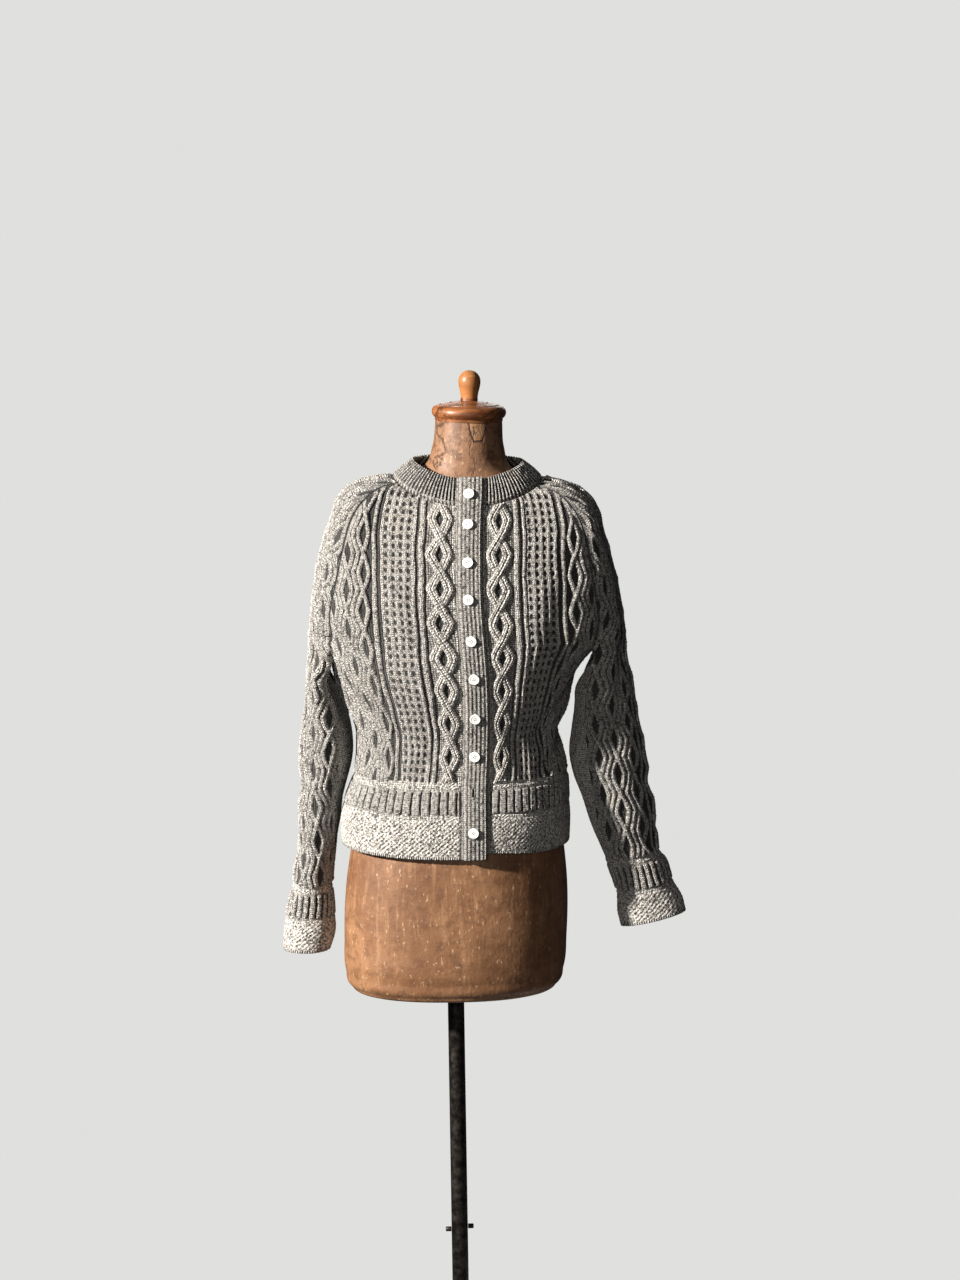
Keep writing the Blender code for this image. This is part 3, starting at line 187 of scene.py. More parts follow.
# height and distance out of the button line
buttonXAt = byHeight((
    (0.889, 0.0280), (0.927, 0.0285), (0.980, 0.0290), (1.030, 0.0315), (1.083, 0.0330),
    (1.139, 0.0325), (1.191, 0.0295), (1.247, 0.0265), (1.300, 0.0265), (1.346, 0.0275), (1.405, 0.0305),
))


# button line before the figure leans
def uprightButtonX(z):
    return buttonXAt(z)[..., 0] - stance["lean"] * (z - stance["foot"])


# neck seam and top edge of the neckband: half-width, front and back depth, then front, side and back height
neckSeam = {"half": 0.102, "front": 0.090, "back": 0.068, "heights": (1.3680, 1.3985, 1.390), "dip": 1.6}
neckTopEdge = {"half": 0.074, "front": 0.071, "back": 0.056, "heights": (1.4035, 1.4220, 1.424), "dip": 1.6}


# point of a neck edge at an angle from the centre front, positive to the right
def ringPoint(edge, angle):
    facing = np.cos(angle)
    front, side, back = edge["heights"]
    ahead = np.where(facing > 0, edge["front"], edge["back"])
    drop = np.where(facing > 0, side - front, side - back)
    height = side - drop * np.abs(facing) ** edge["dip"]
    return np.stack([edge["half"] * np.sin(angle), -ahead * facing, height], axis=-1)


def ringAngle(edge, x):
    return np.arcsin(np.clip(x / edge["half"], -1.0, 1.0))


# angle of a raglan's top end round the neck seam, from the centre front
def raglanAngle(face):
    if face == "front":
        return math.acos(-cardigan["raglanFront"] / neckSeam["front"])
    return math.pi - math.acos(cardigan["raglanBack"] / neckSeam["back"])


# resample a polyline at count points, evenly along its length
def even(points, count):
    length = runOf(points)
    places = np.linspace(0.0, length[-1], count)
    return np.stack([np.interp(places, length, points[:, k]) for k in range(3)], axis=1)


# raglan seams from the underarm to the neck: distance out, depth, height
frontRaglan = (
    (0.1830, -0.072, 1.212),
    (0.1790, -0.080, 1.240),
    (0.1730, -0.084, 1.270),
    (0.1670, -0.083, 1.302),
    (0.1620, -0.081, 1.325),
    (0.1570, -0.078, 1.343),
    (0.1480, -0.072, 1.361),
    (0.1350, -0.064, 1.376),
    (0.1200, -0.054, 1.387),
    (0.1080, -0.046, 1.391),
)

backRaglan = (
    (0.1830, 0.069, 1.214),
    (0.1790, 0.078, 1.243),
    (0.1730, 0.083, 1.275),
    (0.1660, 0.084, 1.308),
    (0.1590, 0.080, 1.335),
    (0.1500, 0.074, 1.356),
    (0.1370, 0.064, 1.375),
    (0.1220, 0.050, 1.388),
    (0.1080, 0.038, 1.394),
)


# point where a raglan starts on the underarm row of the body
def underarmCorner(side, face):
    left, right, front, back = bodyAt(cardigan["underarm"])
    y = cardigan["frontEdge"] if face == "front" else cardigan["backEdge"]
    reach = front if face == "front" else back
    out = (right if side > 0 else left) * (1 - (abs(y) / reach) ** cardigan["power"]) ** (1 / cardigan["power"])
    return np.array([side * out, y, cardigan["underarm"]])


# smooth line through a few points, with one even step to each row of the yoke
def yokeSeam(points):
    points = np.array(points)
    keys = runOf(points)
    return even(smoothCurve(keys, points)(np.linspace(0, keys[-1], samples["seam"])), grid["yokeRows"] + 1)


# raglan seam from the underarm to the neck, as evenly spaced points
def raglan(side, face):
    table = frontRaglan if face == "front" else backRaglan
    start = underarmCorner(side, face)
    end = ringPoint(neckSeam, side * raglanAngle(face))
    middle = [(side * out, depth, height) for out, depth, height in table]
    return yokeSeam([start, *middle, end])


# one row of the body on one face, from its left side seam to its right side seam
def bodyLine(z, face):
    left, right, front, back = bodyAt(z)
    angle = np.linspace(-math.pi / 2, math.pi / 2, samples["line"] + 1)
    sine = np.sin(angle)
    blend = softStep((sine + 0.5) / 1.0)
    x = mix(left, right, blend) * np.sign(sine) * np.abs(sine) ** (2 / cardigan["power"])
    reach = -front if face == "front" else back
    y = reach * np.abs(np.cos(angle)) ** (2 / cardigan["power"])
    return np.stack([x, y, np.full_like(x, z)], axis=1)


# where a body row turns from the panel's face to the stretch under the arm
def cornerX(z, face, side):
    left, right = bodyAt(z)[:2]
    start = bodyAt(cardigan["underarm"])
    share = abs(cardigan["frontEdge"]) / start[2] if face == "front" else cardigan["backEdge"] / start[3]
    return side * (right if side > 0 else left) * (1 - share ** cardigan["power"]) ** (1 / cardigan["power"])


# depth of a yoke row across its width, as a rounded section that ends on the raglans
def yokeDepth(start, out, z, column):
    reach = depthAt(start[2])[column]
    width = (1 - (abs(start[1]) / reach) ** cardigan["power"]) ** (-1 / cardigan["power"])
    y = reach * (1 - np.abs(out / width) ** cardigan["power"]) ** (1 / cardigan["power"])
    return y * mix(depthAt(z)[:, column] / reach, 1.0, out ** 2)


# share of the neck's own curve in a yoke row, which takes over above 0.4 of its height
def nearNeck(rise):
    return softStep((rise - 0.4) / 0.6)


# one row of a yoke from its left raglan to its right raglan, nearing the neck's curve as it rises
def yokeLine(row, face, leftSeam, rightSeam):
    rise = row / grid["yokeRows"]
    column = 0 if face == "front" else 1
    start, end, neck = leftSeam[row], rightSeam[row], leftSeam[-1]
    out = np.linspace(-1.0, 1.0, samples["line"] + 1)
    angle = ringAngle(neckSeam, out * abs(neck[0]))
    top = ringPoint(neckSeam, angle if face == "front" else math.pi - angle)
    x = mix(start[0], end[0], (out + 1) / 2)
    middleTop = top[samples["line"] // 2, 2]
    climbed = (rise + (start[2] - cardigan["underarm"]) / (neck[2] - cardigan["underarm"])) / 2
    middle = mix(cardigan["underarm"], middleTop, climbed)
    z = start[2] + (top[:, 2] - neck[2]) * (start[2] - middle) / (neck[2] - middleTop)
    y = yokeDepth(start, out, z, column)
    y = y + (np.abs(top[:, 1]) - yokeDepth(neck, out, top[:, 2], column)) * nearNeck(rise)
    return np.stack([x, -y if face == "front" else y, z], axis=1)


# evenly spaced points of a row between two distances from the middle
def cut(line, xFrom, xTo, count):
    inside = (line[:, 0] > xFrom + 1e-9) & (line[:, 0] < xTo - 1e-9)
    ends = [np.array([np.interp(x, line[:, 0], line[:, k]) for k in range(3)]) for x in (xFrom, xTo)]
    return even(np.vstack([ends[0], line[inside], ends[1]]), count + 1)


# one knitted piece: points of its base surface, pattern coordinates and quads
class Cloth:

    def __init__(self, name, folds):
        self.name = name
        self.folds = folds
        self.points = np.zeros((0, 3))
        self.chart = np.zeros((0, 2))
        self.grids = []
        self.edges = {}
        self.lift = 0.0

    # store points with their chart coordinates and return their numbers
    def addPoints(self, points, chart):
        shape = points.shape[:-1]
        first = len(self.points)
        self.points = np.vstack([self.points, points.reshape(-1, 3)])
        self.chart = np.vstack([self.chart, chart.reshape(-1, 2)])
        return np.arange(first, first + int(np.prod(shape))).reshape(shape)

    # join rows and columns of point numbers with quads
    def addQuads(self, numbers, flip):
        self.grids.append((numbers, flip))

    # quads of every step-th row and column, with the numbers that lie between their corners
    def quadsOf(self, step):
        rings = []
        for numbers, flip in self.grids:
            rows, columns = numbers.shape[0] - 1, numbers.shape[1] - 1
            i, j = np.meshgrid(np.arange(0, rows, step), np.arange(0, columns, step), indexing="ij")
            ways = [(np.zeros(step), np.arange(step)), (np.arange(step), np.full(step, step)),
                    (np.full(step, step), step - np.arange(step)), (step - np.arange(step), np.zeros(step))]
            ring = np.concatenate([numbers[(i[..., None] + down).astype(int), (j[..., None] + across).astype(int)]
                                   for down, across in ways], axis=-1).reshape(-1, 4 * step)
            rings.append(np.roll(ring[:, ::-1], 1, axis=1) if flip else ring)
        return np.vstack(rings)

    def findNormals(self):
        quads = self.quadsOf(1)
        corners = self.points[quads]
        facing = np.cross(corners[:, 2] - corners[:, 0], corners[:, 3] - corners[:, 1])
        normals = np.zeros_like(self.points)
        for k in range(4):
            np.add.at(normals, quads[:, k], facing)
        self.normals = unit(normals)
        self.inward = np.zeros_like(self.points)
        middles = corners.mean(axis=1)
        for k in range(4):
            np.add.at(self.inward, quads[:, k], middles - corners[:, k])
        self.offset = np.zeros_like(self.points)
        self.rim = np.zeros(len(self.points))


# chart of one row: signed distance along it from the point nearest the middle, and height
def rowChart(line, heights, middle, scale):
    return np.stack([(runOf(line) - middle) * scale, heights], axis=1)


# heights and polylines of all rows of one face, hem to neck
def bodyRows(face, leftSeam, rightSeam):
    heights = np.linspace(cardigan["hem"], cardigan["underarm"], grid["bodyRows"] + 1)
    lines = [bodyLine(z, face) for z in heights]
    lines += [yokeLine(row, face, leftSeam, rightSeam) for row in range(1, grid["yokeRows"] + 1)]
    return lines


def lengthOf(line):
    return float(np.linalg.norm(np.diff(line, axis=0), axis=1).sum())


# how much longer the cloth is than it is high, from the fullest row up to each row
def clothHeights(lines):
    places = np.array([line[len(line) // 2] for line in lines])
    steps = np.linalg.norm(np.diff(places[:, 1:], axis=0), axis=1) - np.diff(places[:, 2])
    longer = np.concatenate(([0.0], np.cumsum(steps)))
    return np.maximum(longer - longer[grid["bodyRows"]], 0.0)


# add the body rows and the yoke rows of a panel; the yoke stands on part of the top body row
def addPanel(cloth, body, yoke, first, many, flip):
    low, high = [cloth.addPoints(np.array([row for row, chart in rows]), np.array([chart for row, chart in rows]))
                 for rows in (body, yoke)]
    yokeNumbers = np.vstack([low[-1:, first:first + many + 1], high])
    cloth.addQuads(low, flip)
    cloth.addQuads(yokeNumbers, flip)
    return low, high, yokeNumbers


# front panel from its band edge to the side seam and the raglan
def makeFront(name, side, lines, xEdgeAt):
    cloth = Cloth(name, bodyFolds)
    body, yoke = [], []
    risen = clothHeights(lines)
    fullest = lines[grid["bodyRows"]]
    full = lengthOf(cut(fullest, *sorted((uprightButtonX(cardigan["underarm"]), fullest[-side][0])), 200))
    for i, line in enumerate(lines):
        zEdge = float(np.interp(0.0, line[:, 0], line[:, 2]))
        xEdge = float(xEdgeAt(zEdge))
        start = abs(xEdge - float(uprightButtonX(zEdge)))
        sideX = line[-1][0] if side > 0 else line[0][0]
        middleX = cornerX(line[0][2], "front", side) if i <= grid["bodyRows"] else sideX
        row = cut(line, *sorted((xEdge, middleX)), grid["front"])[::side]
        scale = 1.0
        if i <= grid["bodyRows"]:
            row = np.vstack([row, cut(line, *sorted((middleX, sideX)), grid["arc"])[::side][1:]])
            scale = (full - start) / lengthOf(row)
        chart = rowChart(row, row[:, 2] + risen[i], -start / scale, scale)
        (body if i <= grid["bodyRows"] else yoke).append((row, chart))
    low, high, yokeNumbers = addPanel(cloth, body, yoke, 0, grid["front"], side < 0)
    cloth.edges = {
        "band": np.concatenate([low[:, 0], high[:, 0]]),
        "side": low[:, -1],
        "arc": low[-1, grid["front"]:],
        "raglan": yokeNumbers[:, -1],
        "neck": high[-1],
        "neck_reversed": high[-1][::-1],
    }
    return cloth


# back panel from side seam to side seam and up to the neck
def makeBack(lines):
    cloth = Cloth("back", bodyFolds)
    body, yoke = [], []
    for i, line in enumerate(lines):
        if i <= grid["bodyRows"]:
            corners = [cornerX(line[0][2], "back", side) for side in (-1, 1)]
            left = cut(line, line[0][0], corners[0], grid["arc"])
            middle = cut(line, corners[0], corners[1], grid["back"])
            right = cut(line, corners[1], line[-1][0], grid["arc"])
            row = np.vstack([left, middle[1:], right[1:]])
            scale = lengthOf(lines[grid["bodyRows"]]) / lengthOf(line)
        else:
            row = even(line, grid["back"] + 1)
            scale = 1.0
        chart = rowChart(row, row[:, 2], lengthOf(row) / 2, scale)
        (body if i <= grid["bodyRows"] else yoke).append((row, chart))
    low, high, yokeNumbers = addPanel(cloth, body, yoke, grid["arc"], grid["back"], True)
    cloth.edges = {
        "side_left": low[:, 0],
        "side_right": low[:, -1],
        "arc_left": low[-1, :grid["arc"] + 1][::-1],
        "arc_right": low[-1, -grid["arc"] - 1:],
        "raglan_left": yokeNumbers[:, 0],
        "raglan_right": yokeNumbers[:, -1],
        "neck": high[-1],
    }
    return cloth


# outer line of each sleeve from the underarm level over the shoulder to the neck:
# height, distance out on the left, distance out on the right, depth
shoulderLine = (
    (1.1850, 0.2105, 0.2200, 0.020),
    (1.2100, 0.2085, 0.2155, 0.019),
    (1.2450, 0.2050, 0.2090, 0.018),
    (1.2900, 0.1975, 0.1970, 0.015),
    (1.3250, 0.1875, 0.1860, 0.012),
    (1.3500, 0.1800, 0.1790, 0.009),
    (1.3660, 0.1740, 0.1720, 0.007),
    (1.3775, 0.1660, 0.1610, 0.005),
    (1.3865, 0.1500, 0.1460, 0.003),
    (1.3925, 0.1320, 0.1280, 0.001),
    (1.3965, 0.1140, 0.1120, 0.000),
)


# outer line of a sleeve from the underarm level to the neck, even along its length
def shoulderPoints(side):
    rows = [(side * (right if side > 0 else left), depth, z) for z, left, right, depth in shoulderLine]
    return yokeSeam([*rows, ringPoint(neckSeam, side * math.pi / 2)])


# rounded arch from a point of the front raglan over the outer line to the back raglan
def capArch(front, over, back):
    centre = (front + back) / 2
    angle = np.linspace(0.0, math.pi, samples["arch"] + 1)
    cosine = np.sign(np.cos(angle)) * np.abs(np.cos(angle)) ** (2 / cardigan["power"])
    sine = np.sin(angle) ** (2 / cardigan["power"])
    return centre + (front - centre) * cosine[:, None] + (over - centre) * sine[:, None]


# rows of the sleeve cap, nearing the neck's curve as they rise
def capRows(side, frontSeam, over, backSeam):
    turn = np.interp(np.linspace(0.0, math.pi, samples["arch"] + 1), (0, math.pi / 2, math.pi),
                     (raglanAngle("front"), math.pi / 2, raglanAngle("back")))
    change = ringPoint(neckSeam, side * turn) - capArch(frontSeam[-1], over[-1], backSeam[-1])
    rows, top = [], samples["arch"] // 2
    for i in range(grid["yokeRows"] + 1):
        line = capArch(frontSeam[i], over[i], backSeam[i]) + change * nearNeck(i / grid["yokeRows"])
        halves = [even(line[:top + 1], grid["sleeve"] // 2 + 1), even(line[top:], grid["sleeve"] // 2 + 1)]
        rows.append(np.vstack([halves[0], halves[1][1:]]))
    return rows


# sleeve sections below the underarm: height, distance out and depth of the centre,
# half-width, half-depth, turn about +Z in degrees, rise of the outer side over the inner side
leftSleeve = (
    (0.737, 0.2098, 0.018, 0.0320, 0.036, 0.0, 0.00),
    (0.760, 0.2066, 0.018, 0.0350, 0.035, 0.0, 0.00),
    (0.794, 0.2056, 0.020, 0.0319, 0.036, 0.0, 0.00),
    (0.834, 0.2032, 0.022, 0.0258, 0.040, 2.0, 0.00),
    (0.888, 0.1985, 0.024, 0.0248, 0.047, 3.0, 0.00),
    (0.948, 0.1929, 0.026, 0.0282, 0.054, 5.0, 0.00),
    (1.020, 0.1865, 0.026, 0.0350, 0.061, 8.0, 0.00),
    (1.055, 0.1870, 0.022, 0.0305, 0.063, 8.0, 0.00),
    (1.085, 0.1905, 0.016, 0.0230, 0.065, 7.0, 0.00),
    (1.120, 0.1990, 0.009, 0.0137, 0.064, 4.0, 0.00),
    (1.150, 0.2025, 0.003, 0.0095, 0.062, 1.0, 0.00),
    (1.185, 0.2025, 0.000, 0.0100, 0.060, 0.0, 0.00),
)

rightSleeve = (
    (0.775, 0.2740, 0.008, 0.0440, 0.026, 0.0, 0.23),
    (0.795, 0.2685, 0.010, 0.0440, 0.028, 0.0, 0.22),
    (0.817, 0.2618, 0.012, 0.0385, 0.032, 0.0, 0.20),
    (0.851, 0.2500, 0.014, 0.0385, 0.035, 0.0, 0.15),
    (0.881, 0.2370, 0.014, 0.0390, 0.038, 0.0, 0.12),
    (0.914, 0.2271, 0.014, 0.0440, 0.041, 0.0, 0.10),
    (0.953, 0.2163, 0.014, 0.0470, 0.044, 0.0, 0.08),
    (0.985, 0.2068, 0.013, 0.0505, 0.046, 0.0, 0.06),
    (1.020, 0.2003, 0.012, 0.0505, 0.049, 0.0, 0.04),
    (1.040, 0.1988, 0.011, 0.0473, 0.051, 0.0, 0.03),
    (1.076, 0.1965, 0.008, 0.0415, 0.054, 0.0, 0.02),
    (1.116, 0.1948, 0.004, 0.0378, 0.058, 0.0, 0.00),
    (1.150, 0.1990, 0.000, 0.0288, 0.060, 0.0, 0.00),
    (1.185, 0.2050, 0.000, 0.0180, 0.060, 0.0, 0.00),
)


# closed ring of the sleeve below the underarm, from the side seam round the front
def tubeRow(section, side):
    z, out, depth, halfWidth, halfDepth, turn, rise = section
    angle = np.linspace(0.0, 2 * math.pi, samples["ring"] + 1)
    across = -halfWidth * np.cos(angle)
    ahead = -halfDepth * np.sin(angle)
    turned = math.radians(turn)
    x = across * math.cos(turned) - ahead * math.sin(turned)
    y = across * math.sin(turned) + ahead * math.cos(turned)
    line = np.stack([side * (out + x), depth + y, z + rise * across], axis=1)
    length = runOf(line) / lengthOf(line)
    marks = np.concatenate([
        np.linspace(0.0, cardigan["arcShare"], grid["arc"] + 1)[:-1],
        np.linspace(cardigan["arcShare"], 1 - cardigan["arcShare"], grid["sleeve"] + 1)[:-1],
        np.linspace(1 - cardigan["arcShare"], 1.0, grid["arc"] + 1)[:-1],
    ])
    return np.stack([np.interp(marks, length, line[:, k]) for k in range(3)], axis=1)


# chart of a sleeve row: signed distance from its outer line, negative to the front
def ringChart(ring, over, heights):
    length = runOf(ring)
    return np.stack([length - length[over], heights], axis=1)


# raglan sleeve: a tube from the cuff to the underarm and a cap from there to the neck
def makeSleeve(name, side, frontSeam, backSeam, frontArc, backArc):
    cloth = Cloth(name, sleeveFolds)
    over = shoulderPoints(side)
    caps = capRows(side, frontSeam, over, backSeam)
    topRing = np.vstack([frontArc[::-1][:-1], caps[0], backArc[1:-1]])
    sections = byHeight(rightSleeve if side > 0 else leftSleeve)
    first = (rightSleeve if side > 0 else leftSleeve)[0][0]
    rows, charts = [], []
    for z in np.linspace(first, cardigan["underarm"], grid["sleeveRows"] + 1):
        ring = tubeRow((z, *sections(z)), side)
        under = topRing + np.array([0.0, 0.0, z - cardigan["underarm"]])
        ring = mix(under, ring, softStep((cardigan["underarm"] - z) / cardigan["capBlend"]))
        rows.append(ring)
        charts.append(ringChart(ring, grid["arc"] + grid["sleeve"] // 2, np.full(len(ring), z - first)))
    low = cloth.addPoints(np.array(rows), np.array(charts))
    rise = np.linalg.norm(over[1] - over[0])
    capCharts = [ringChart(row, grid["sleeve"] // 2, np.full(len(row), cardigan["underarm"] - first + (i + 1) * rise))
                  for i, row in enumerate(caps[1:])]
    high = cloth.addPoints(np.array(caps[1:]), np.array(capCharts))
    closed = np.hstack([low, low[:, :1]])
    openNumbers = np.vstack([low[-1:, grid["arc"]:grid["arc"] + grid["sleeve"] + 1], high])
    cloth.addQuads(closed, side < 0)
    cloth.addQuads(openNumbers, side < 0)
    cloth.edges = {
        "arc_front": low[-1, :grid["arc"] + 1][::-1],
        "arc_back": closed[-1, -grid["arc"] - 1:],
        "raglan_front": openNumbers[:, 0],
        "raglan_back": openNumbers[:, -1],
        "neck": high[-1],
        "neck_reversed": high[-1][::-1],
    }
    return cloth


# rows from the neck seam up to the top edge of the neckband
def neckWall(bottom, lowAngle, highAngle):
    rows = []
    top = ringPoint(neckTopEdge, highAngle)
    outward = np.stack([np.sin(lowAngle), -np.cos(lowAngle), np.zeros_like(lowAngle)], axis=-1)
    for rise in np.linspace(0.0, 1.0, grid["neckRows"] + 1):
        rows.append(mix(bottom, top, rise) + outward * cardigan["neckBulge"] * math.sin(math.pi * rise))
    return np.array(rows)


# sizes of the neckband's knitting, with the depth of painted shade between its ribs; the ribs lie closer at front and
# back, by the two stretch values
neckKnit = {"pitch": 0.0060, "height": 0.0023, "shade": 0.90, "share": 0.33, "ridge": 0.0016, "ridgeAt": 0.0044,
            "ridgeHalf": 0.0020, "high": 0.037, "stretch": (0.86, 0.38)}


# ribbed band round the neck from the buttonhole band round the back to the button band
def makeNeckband(frontRight, sleeveRight, back, sleeveLeft, frontLeft):
    cloth = Cloth("neckband", ())
    stretches = [
        frontRight.points[frontRight.edges["neck"]],
        sleeveRight.points[sleeveRight.edges["neck"]],
        back.points[back.edges["neck"]],
        sleeveLeft.points[sleeveLeft.edges["neck"][::-1]],
        frontLeft.points[frontLeft.edges["neck"][::-1]],
    ]
    bottom = np.vstack([stretches[0], *[stretch[1:] for stretch in stretches[1:]]])
    reach = np.where(bottom[:, 1] < 0, neckSeam["front"], neckSeam["back"])
    lowAngle = np.unwrap(np.arctan2(bottom[:, 0] / neckSeam["half"], -bottom[:, 1] / reach))
    highAngle = lowAngle.copy()
    fall = np.linspace(1.0, 0.0, grid["front"] + 1)
    for end, angles in ((0, highAngle), (-1, highAngle[::-1])):
        shift = float(ringAngle(neckTopEdge, bottom[end, 0]) - ringAngle(neckSeam, bottom[end, 0]))
        angles[:len(fall)] += shift * fall
    rows = neckWall(bottom, lowAngle, highAngle)
    wider = neckKnit["stretch"][0] + neckKnit["stretch"][1] * np.sin((lowAngle[1:] + lowAngle[:-1]) / 2) ** 2
    length = np.concatenate(([0.0], np.cumsum(np.linalg.norm(np.diff(bottom, axis=0), axis=1) / wider)))
    chart = np.zeros(rows.shape[:2] + (2,))
    chart[..., 0] = length
    chart[..., 1] = np.linspace(0.0, 1.0, grid["neckRows"] + 1)[:, None] * neckKnit["high"]
    numbers = cloth.addPoints(rows, chart)
    cloth.addQuads(numbers, True)
    marks = np.cumsum([0] + [len(stretch) - 1 for stretch in stretches])
    names = ("front_right", "sleeve_right", "back", "sleeve_left", "front_left")
    cloth.edges = {name: numbers[0, low:high + 1] for name, low, high in zip(names, marks, marks[1:])}
    cloth.edges["start"] = numbers[:, 0]
    cloth.edges["end"] = numbers[:, -1]
    return cloth


# front band from the hem up to the top of the neckband, at offsets from the button line
def makeBand(name, lines, offsets, liftAt):
    cloth = Cloth(name, ())
    rows = []
    for line in lines:
        middle = float(uprightButtonX(np.interp(0.0, line[:, 0], line[:, 2])))
        rows.append([[np.interp(middle + offset, line[:, 0], line[:, k]) for k in range(3)] for offset in offsets])
    bottom = np.array(rows[-1])
    wall = neckWall(bottom, ringAngle(neckSeam, bottom[:, 0]), ringAngle(neckTopEdge, bottom[:, 0]))
    seamRows = len(rows)
    rows = np.vstack([np.array(rows), wall[1:]])
    chart = np.zeros(rows.shape[:2] + (2,))
    chart[..., 0] = offsets
    chart[..., 1] = rows[..., 2]
    numbers = cloth.addPoints(rows, chart)
    cloth.addQuads(numbers, False)
    cloth.lift = liftAt(chart[..., 0].reshape(-1))
    cloth.edges = {
        "left_low": numbers[:seamRows, 0],
        "left_high": numbers[seamRows - 1:, 0],
        "right_low": numbers[:seamRows, -1],
        "right_high": numbers[seamRows - 1:, -1],
        "middle": numbers[:, len(offsets) // 2],
    }
    return cloth


# give both sides of every seam the same straight stretches, facing and small gap.
# Where the cloth folds back on itself under the arm, the seam faces into the fold
def sew(seams):
    for seam in seams:
        (first, a), (second, b) = seam["first"], seam["second"]
        seam["marks"] = [np.linspace(0, len(numbers) - 1, seam["stretches"] + 1).round().astype(int)
                         for numbers in (a, b)]
        a, b = a[seam["marks"][0]], b[seam["marks"][1]]
        fold = seam["fold"]
        intoFirst, intoSecond = unit(first.inward[a]), unit(second.inward[b])
        seam["facing"] = unit(first.normals[a] + second.normals[b] + (intoFirst + intoSecond) * fold)
        seam["apart"] = intoFirst - intoSecond + (second.normals[b] - first.normals[a]) * fold
        seam["places"] = first.points[a].copy()
    ends = {}
    for seam in seams:
        for end in (0, -1):
            key = tuple(np.round(seam["places"][end], 5))
            ends.setdefault(key, []).append((seam, end))
    for group in ends.values():
        shared = unit(sum(seam["facing"][end] for seam, end in group))
        for seam, end in group:
            seam["facing"][end] = shared
    for seam in seams:
        (first, a), (second, b) = seam["first"], seam["second"]
        tangent = unit(np.gradient(seam["places"], axis=0))
        side = unit(np.cross(tangent, seam["facing"]))
        side = side * (1 if np.sum(side * seam["apart"]) > 0 else -1)
        for cloth, numbers, sign, marks in ((first, a, 1, seam["marks"][0]), (second, b, -1, seam["marks"][1])):
            index = np.arange(len(numbers))
            spread = [np.stack([np.interp(index, marks, values[:, k]) for k in range(3)], axis=1)
                      for values in (seam["places"], seam["facing"], side)]
            cloth.points[numbers] = spread[0]
            cloth.normals[numbers] = unit(spread[1])
            cloth.offset[numbers] += spread[2] * sign * wool["seamGap"] / 2
            cloth.rim[numbers] = seam["plain"]


# distance of every point of a piece from its nearest seam, and how the seam faces there
def nearestSeam(cloth):
    rim = np.flatnonzero(cloth.rim > 0)
    tree = kdtree.KDTree(len(rim))
    for number in rim:
        tree.insert(cloth.points[number], int(number))
    tree.balance()
    numbers, away = zip(*[tree.find(point)[1:] for point in cloth.points])
    numbers = list(numbers)
    return np.array(away), cloth.normals[numbers], cloth.rim[numbers]


# the hem's rise fades in below a height, and the step by the button band lies round one place
hemShape = {"rise": 0.006, "riseTop": 1.0, "riseFade": 0.10, "half": 0.16,
            "step": 0.007, "stepTop": 0.955, "stepFade": 0.06, "stepAt": 0.045, "stepWide": 0.045}


# let the hem rise a little at the sides, and step up by the button band on one front
def hangHem(points, step):
    x, z = points[:, 0], points[:, 2]
    low = softStep((hemShape["riseTop"] - z) / hemShape["riseFade"])
    points[:, 2] = z + hemShape["rise"] * low * (x / hemShape["half"]) ** 2
    if step:
        near = np.exp(-((x - hemShape["stepAt"]) / hemShape["stepWide"]) ** 2)
        points[:, 2] += hemShape["step"] * (near * softStep((hemShape["stepTop"] - z) / hemShape["stepFade"]))


# a socket that holds a number, so that sums can be written as Python sums
class Num:
    def __init__(self, graph, socket):
        self.graph, self.socket = graph, socket

    def math(self, operation, *others, swap=False):
        values = [self, *others]
        return self.graph.add("ShaderNodeMath", {"operation": operation},
                              dict(enumerate(values[::-1] if swap else values)))

    def __add__(self, other):
        return self.math("ADD", other)

    def __sub__(self, other):
        return self.math("SUBTRACT", other)

    def __rsub__(self, other):
        return self.math("SUBTRACT", other, swap=True)

    def __mul__(self, other):
        return self.math("MULTIPLY", other)

    def __truediv__(self, other):
        return self.math("DIVIDE", other)

    def __pow__(self, other):
        return self.math("POWER", other)

    def __neg__(self):
        return self.math("MULTIPLY", -1.0)

    def __abs__(self):
        return self.math("ABSOLUTE")

    __radd__ = __add__
    __rmul__ = __mul__

    def top(self, other):
        return self.math("MAXIMUM", other)

    def over(self, other):
        return self.math("GREATER_THAN", other)

    def wrap(self, period):
        return self.math("FLOORED_MODULO", period)

    def cosine(self):
        return self.math("COSINE")

    # 0 below the first value, 1 above the second, soft between; the values may fall
    def between(self, first, second):
        return self.graph.add("ShaderNodeMapRange", {"interpolation_type": "SMOOTHSTEP"},
                              {"Value": self, "From Min": first, "From Max": second})


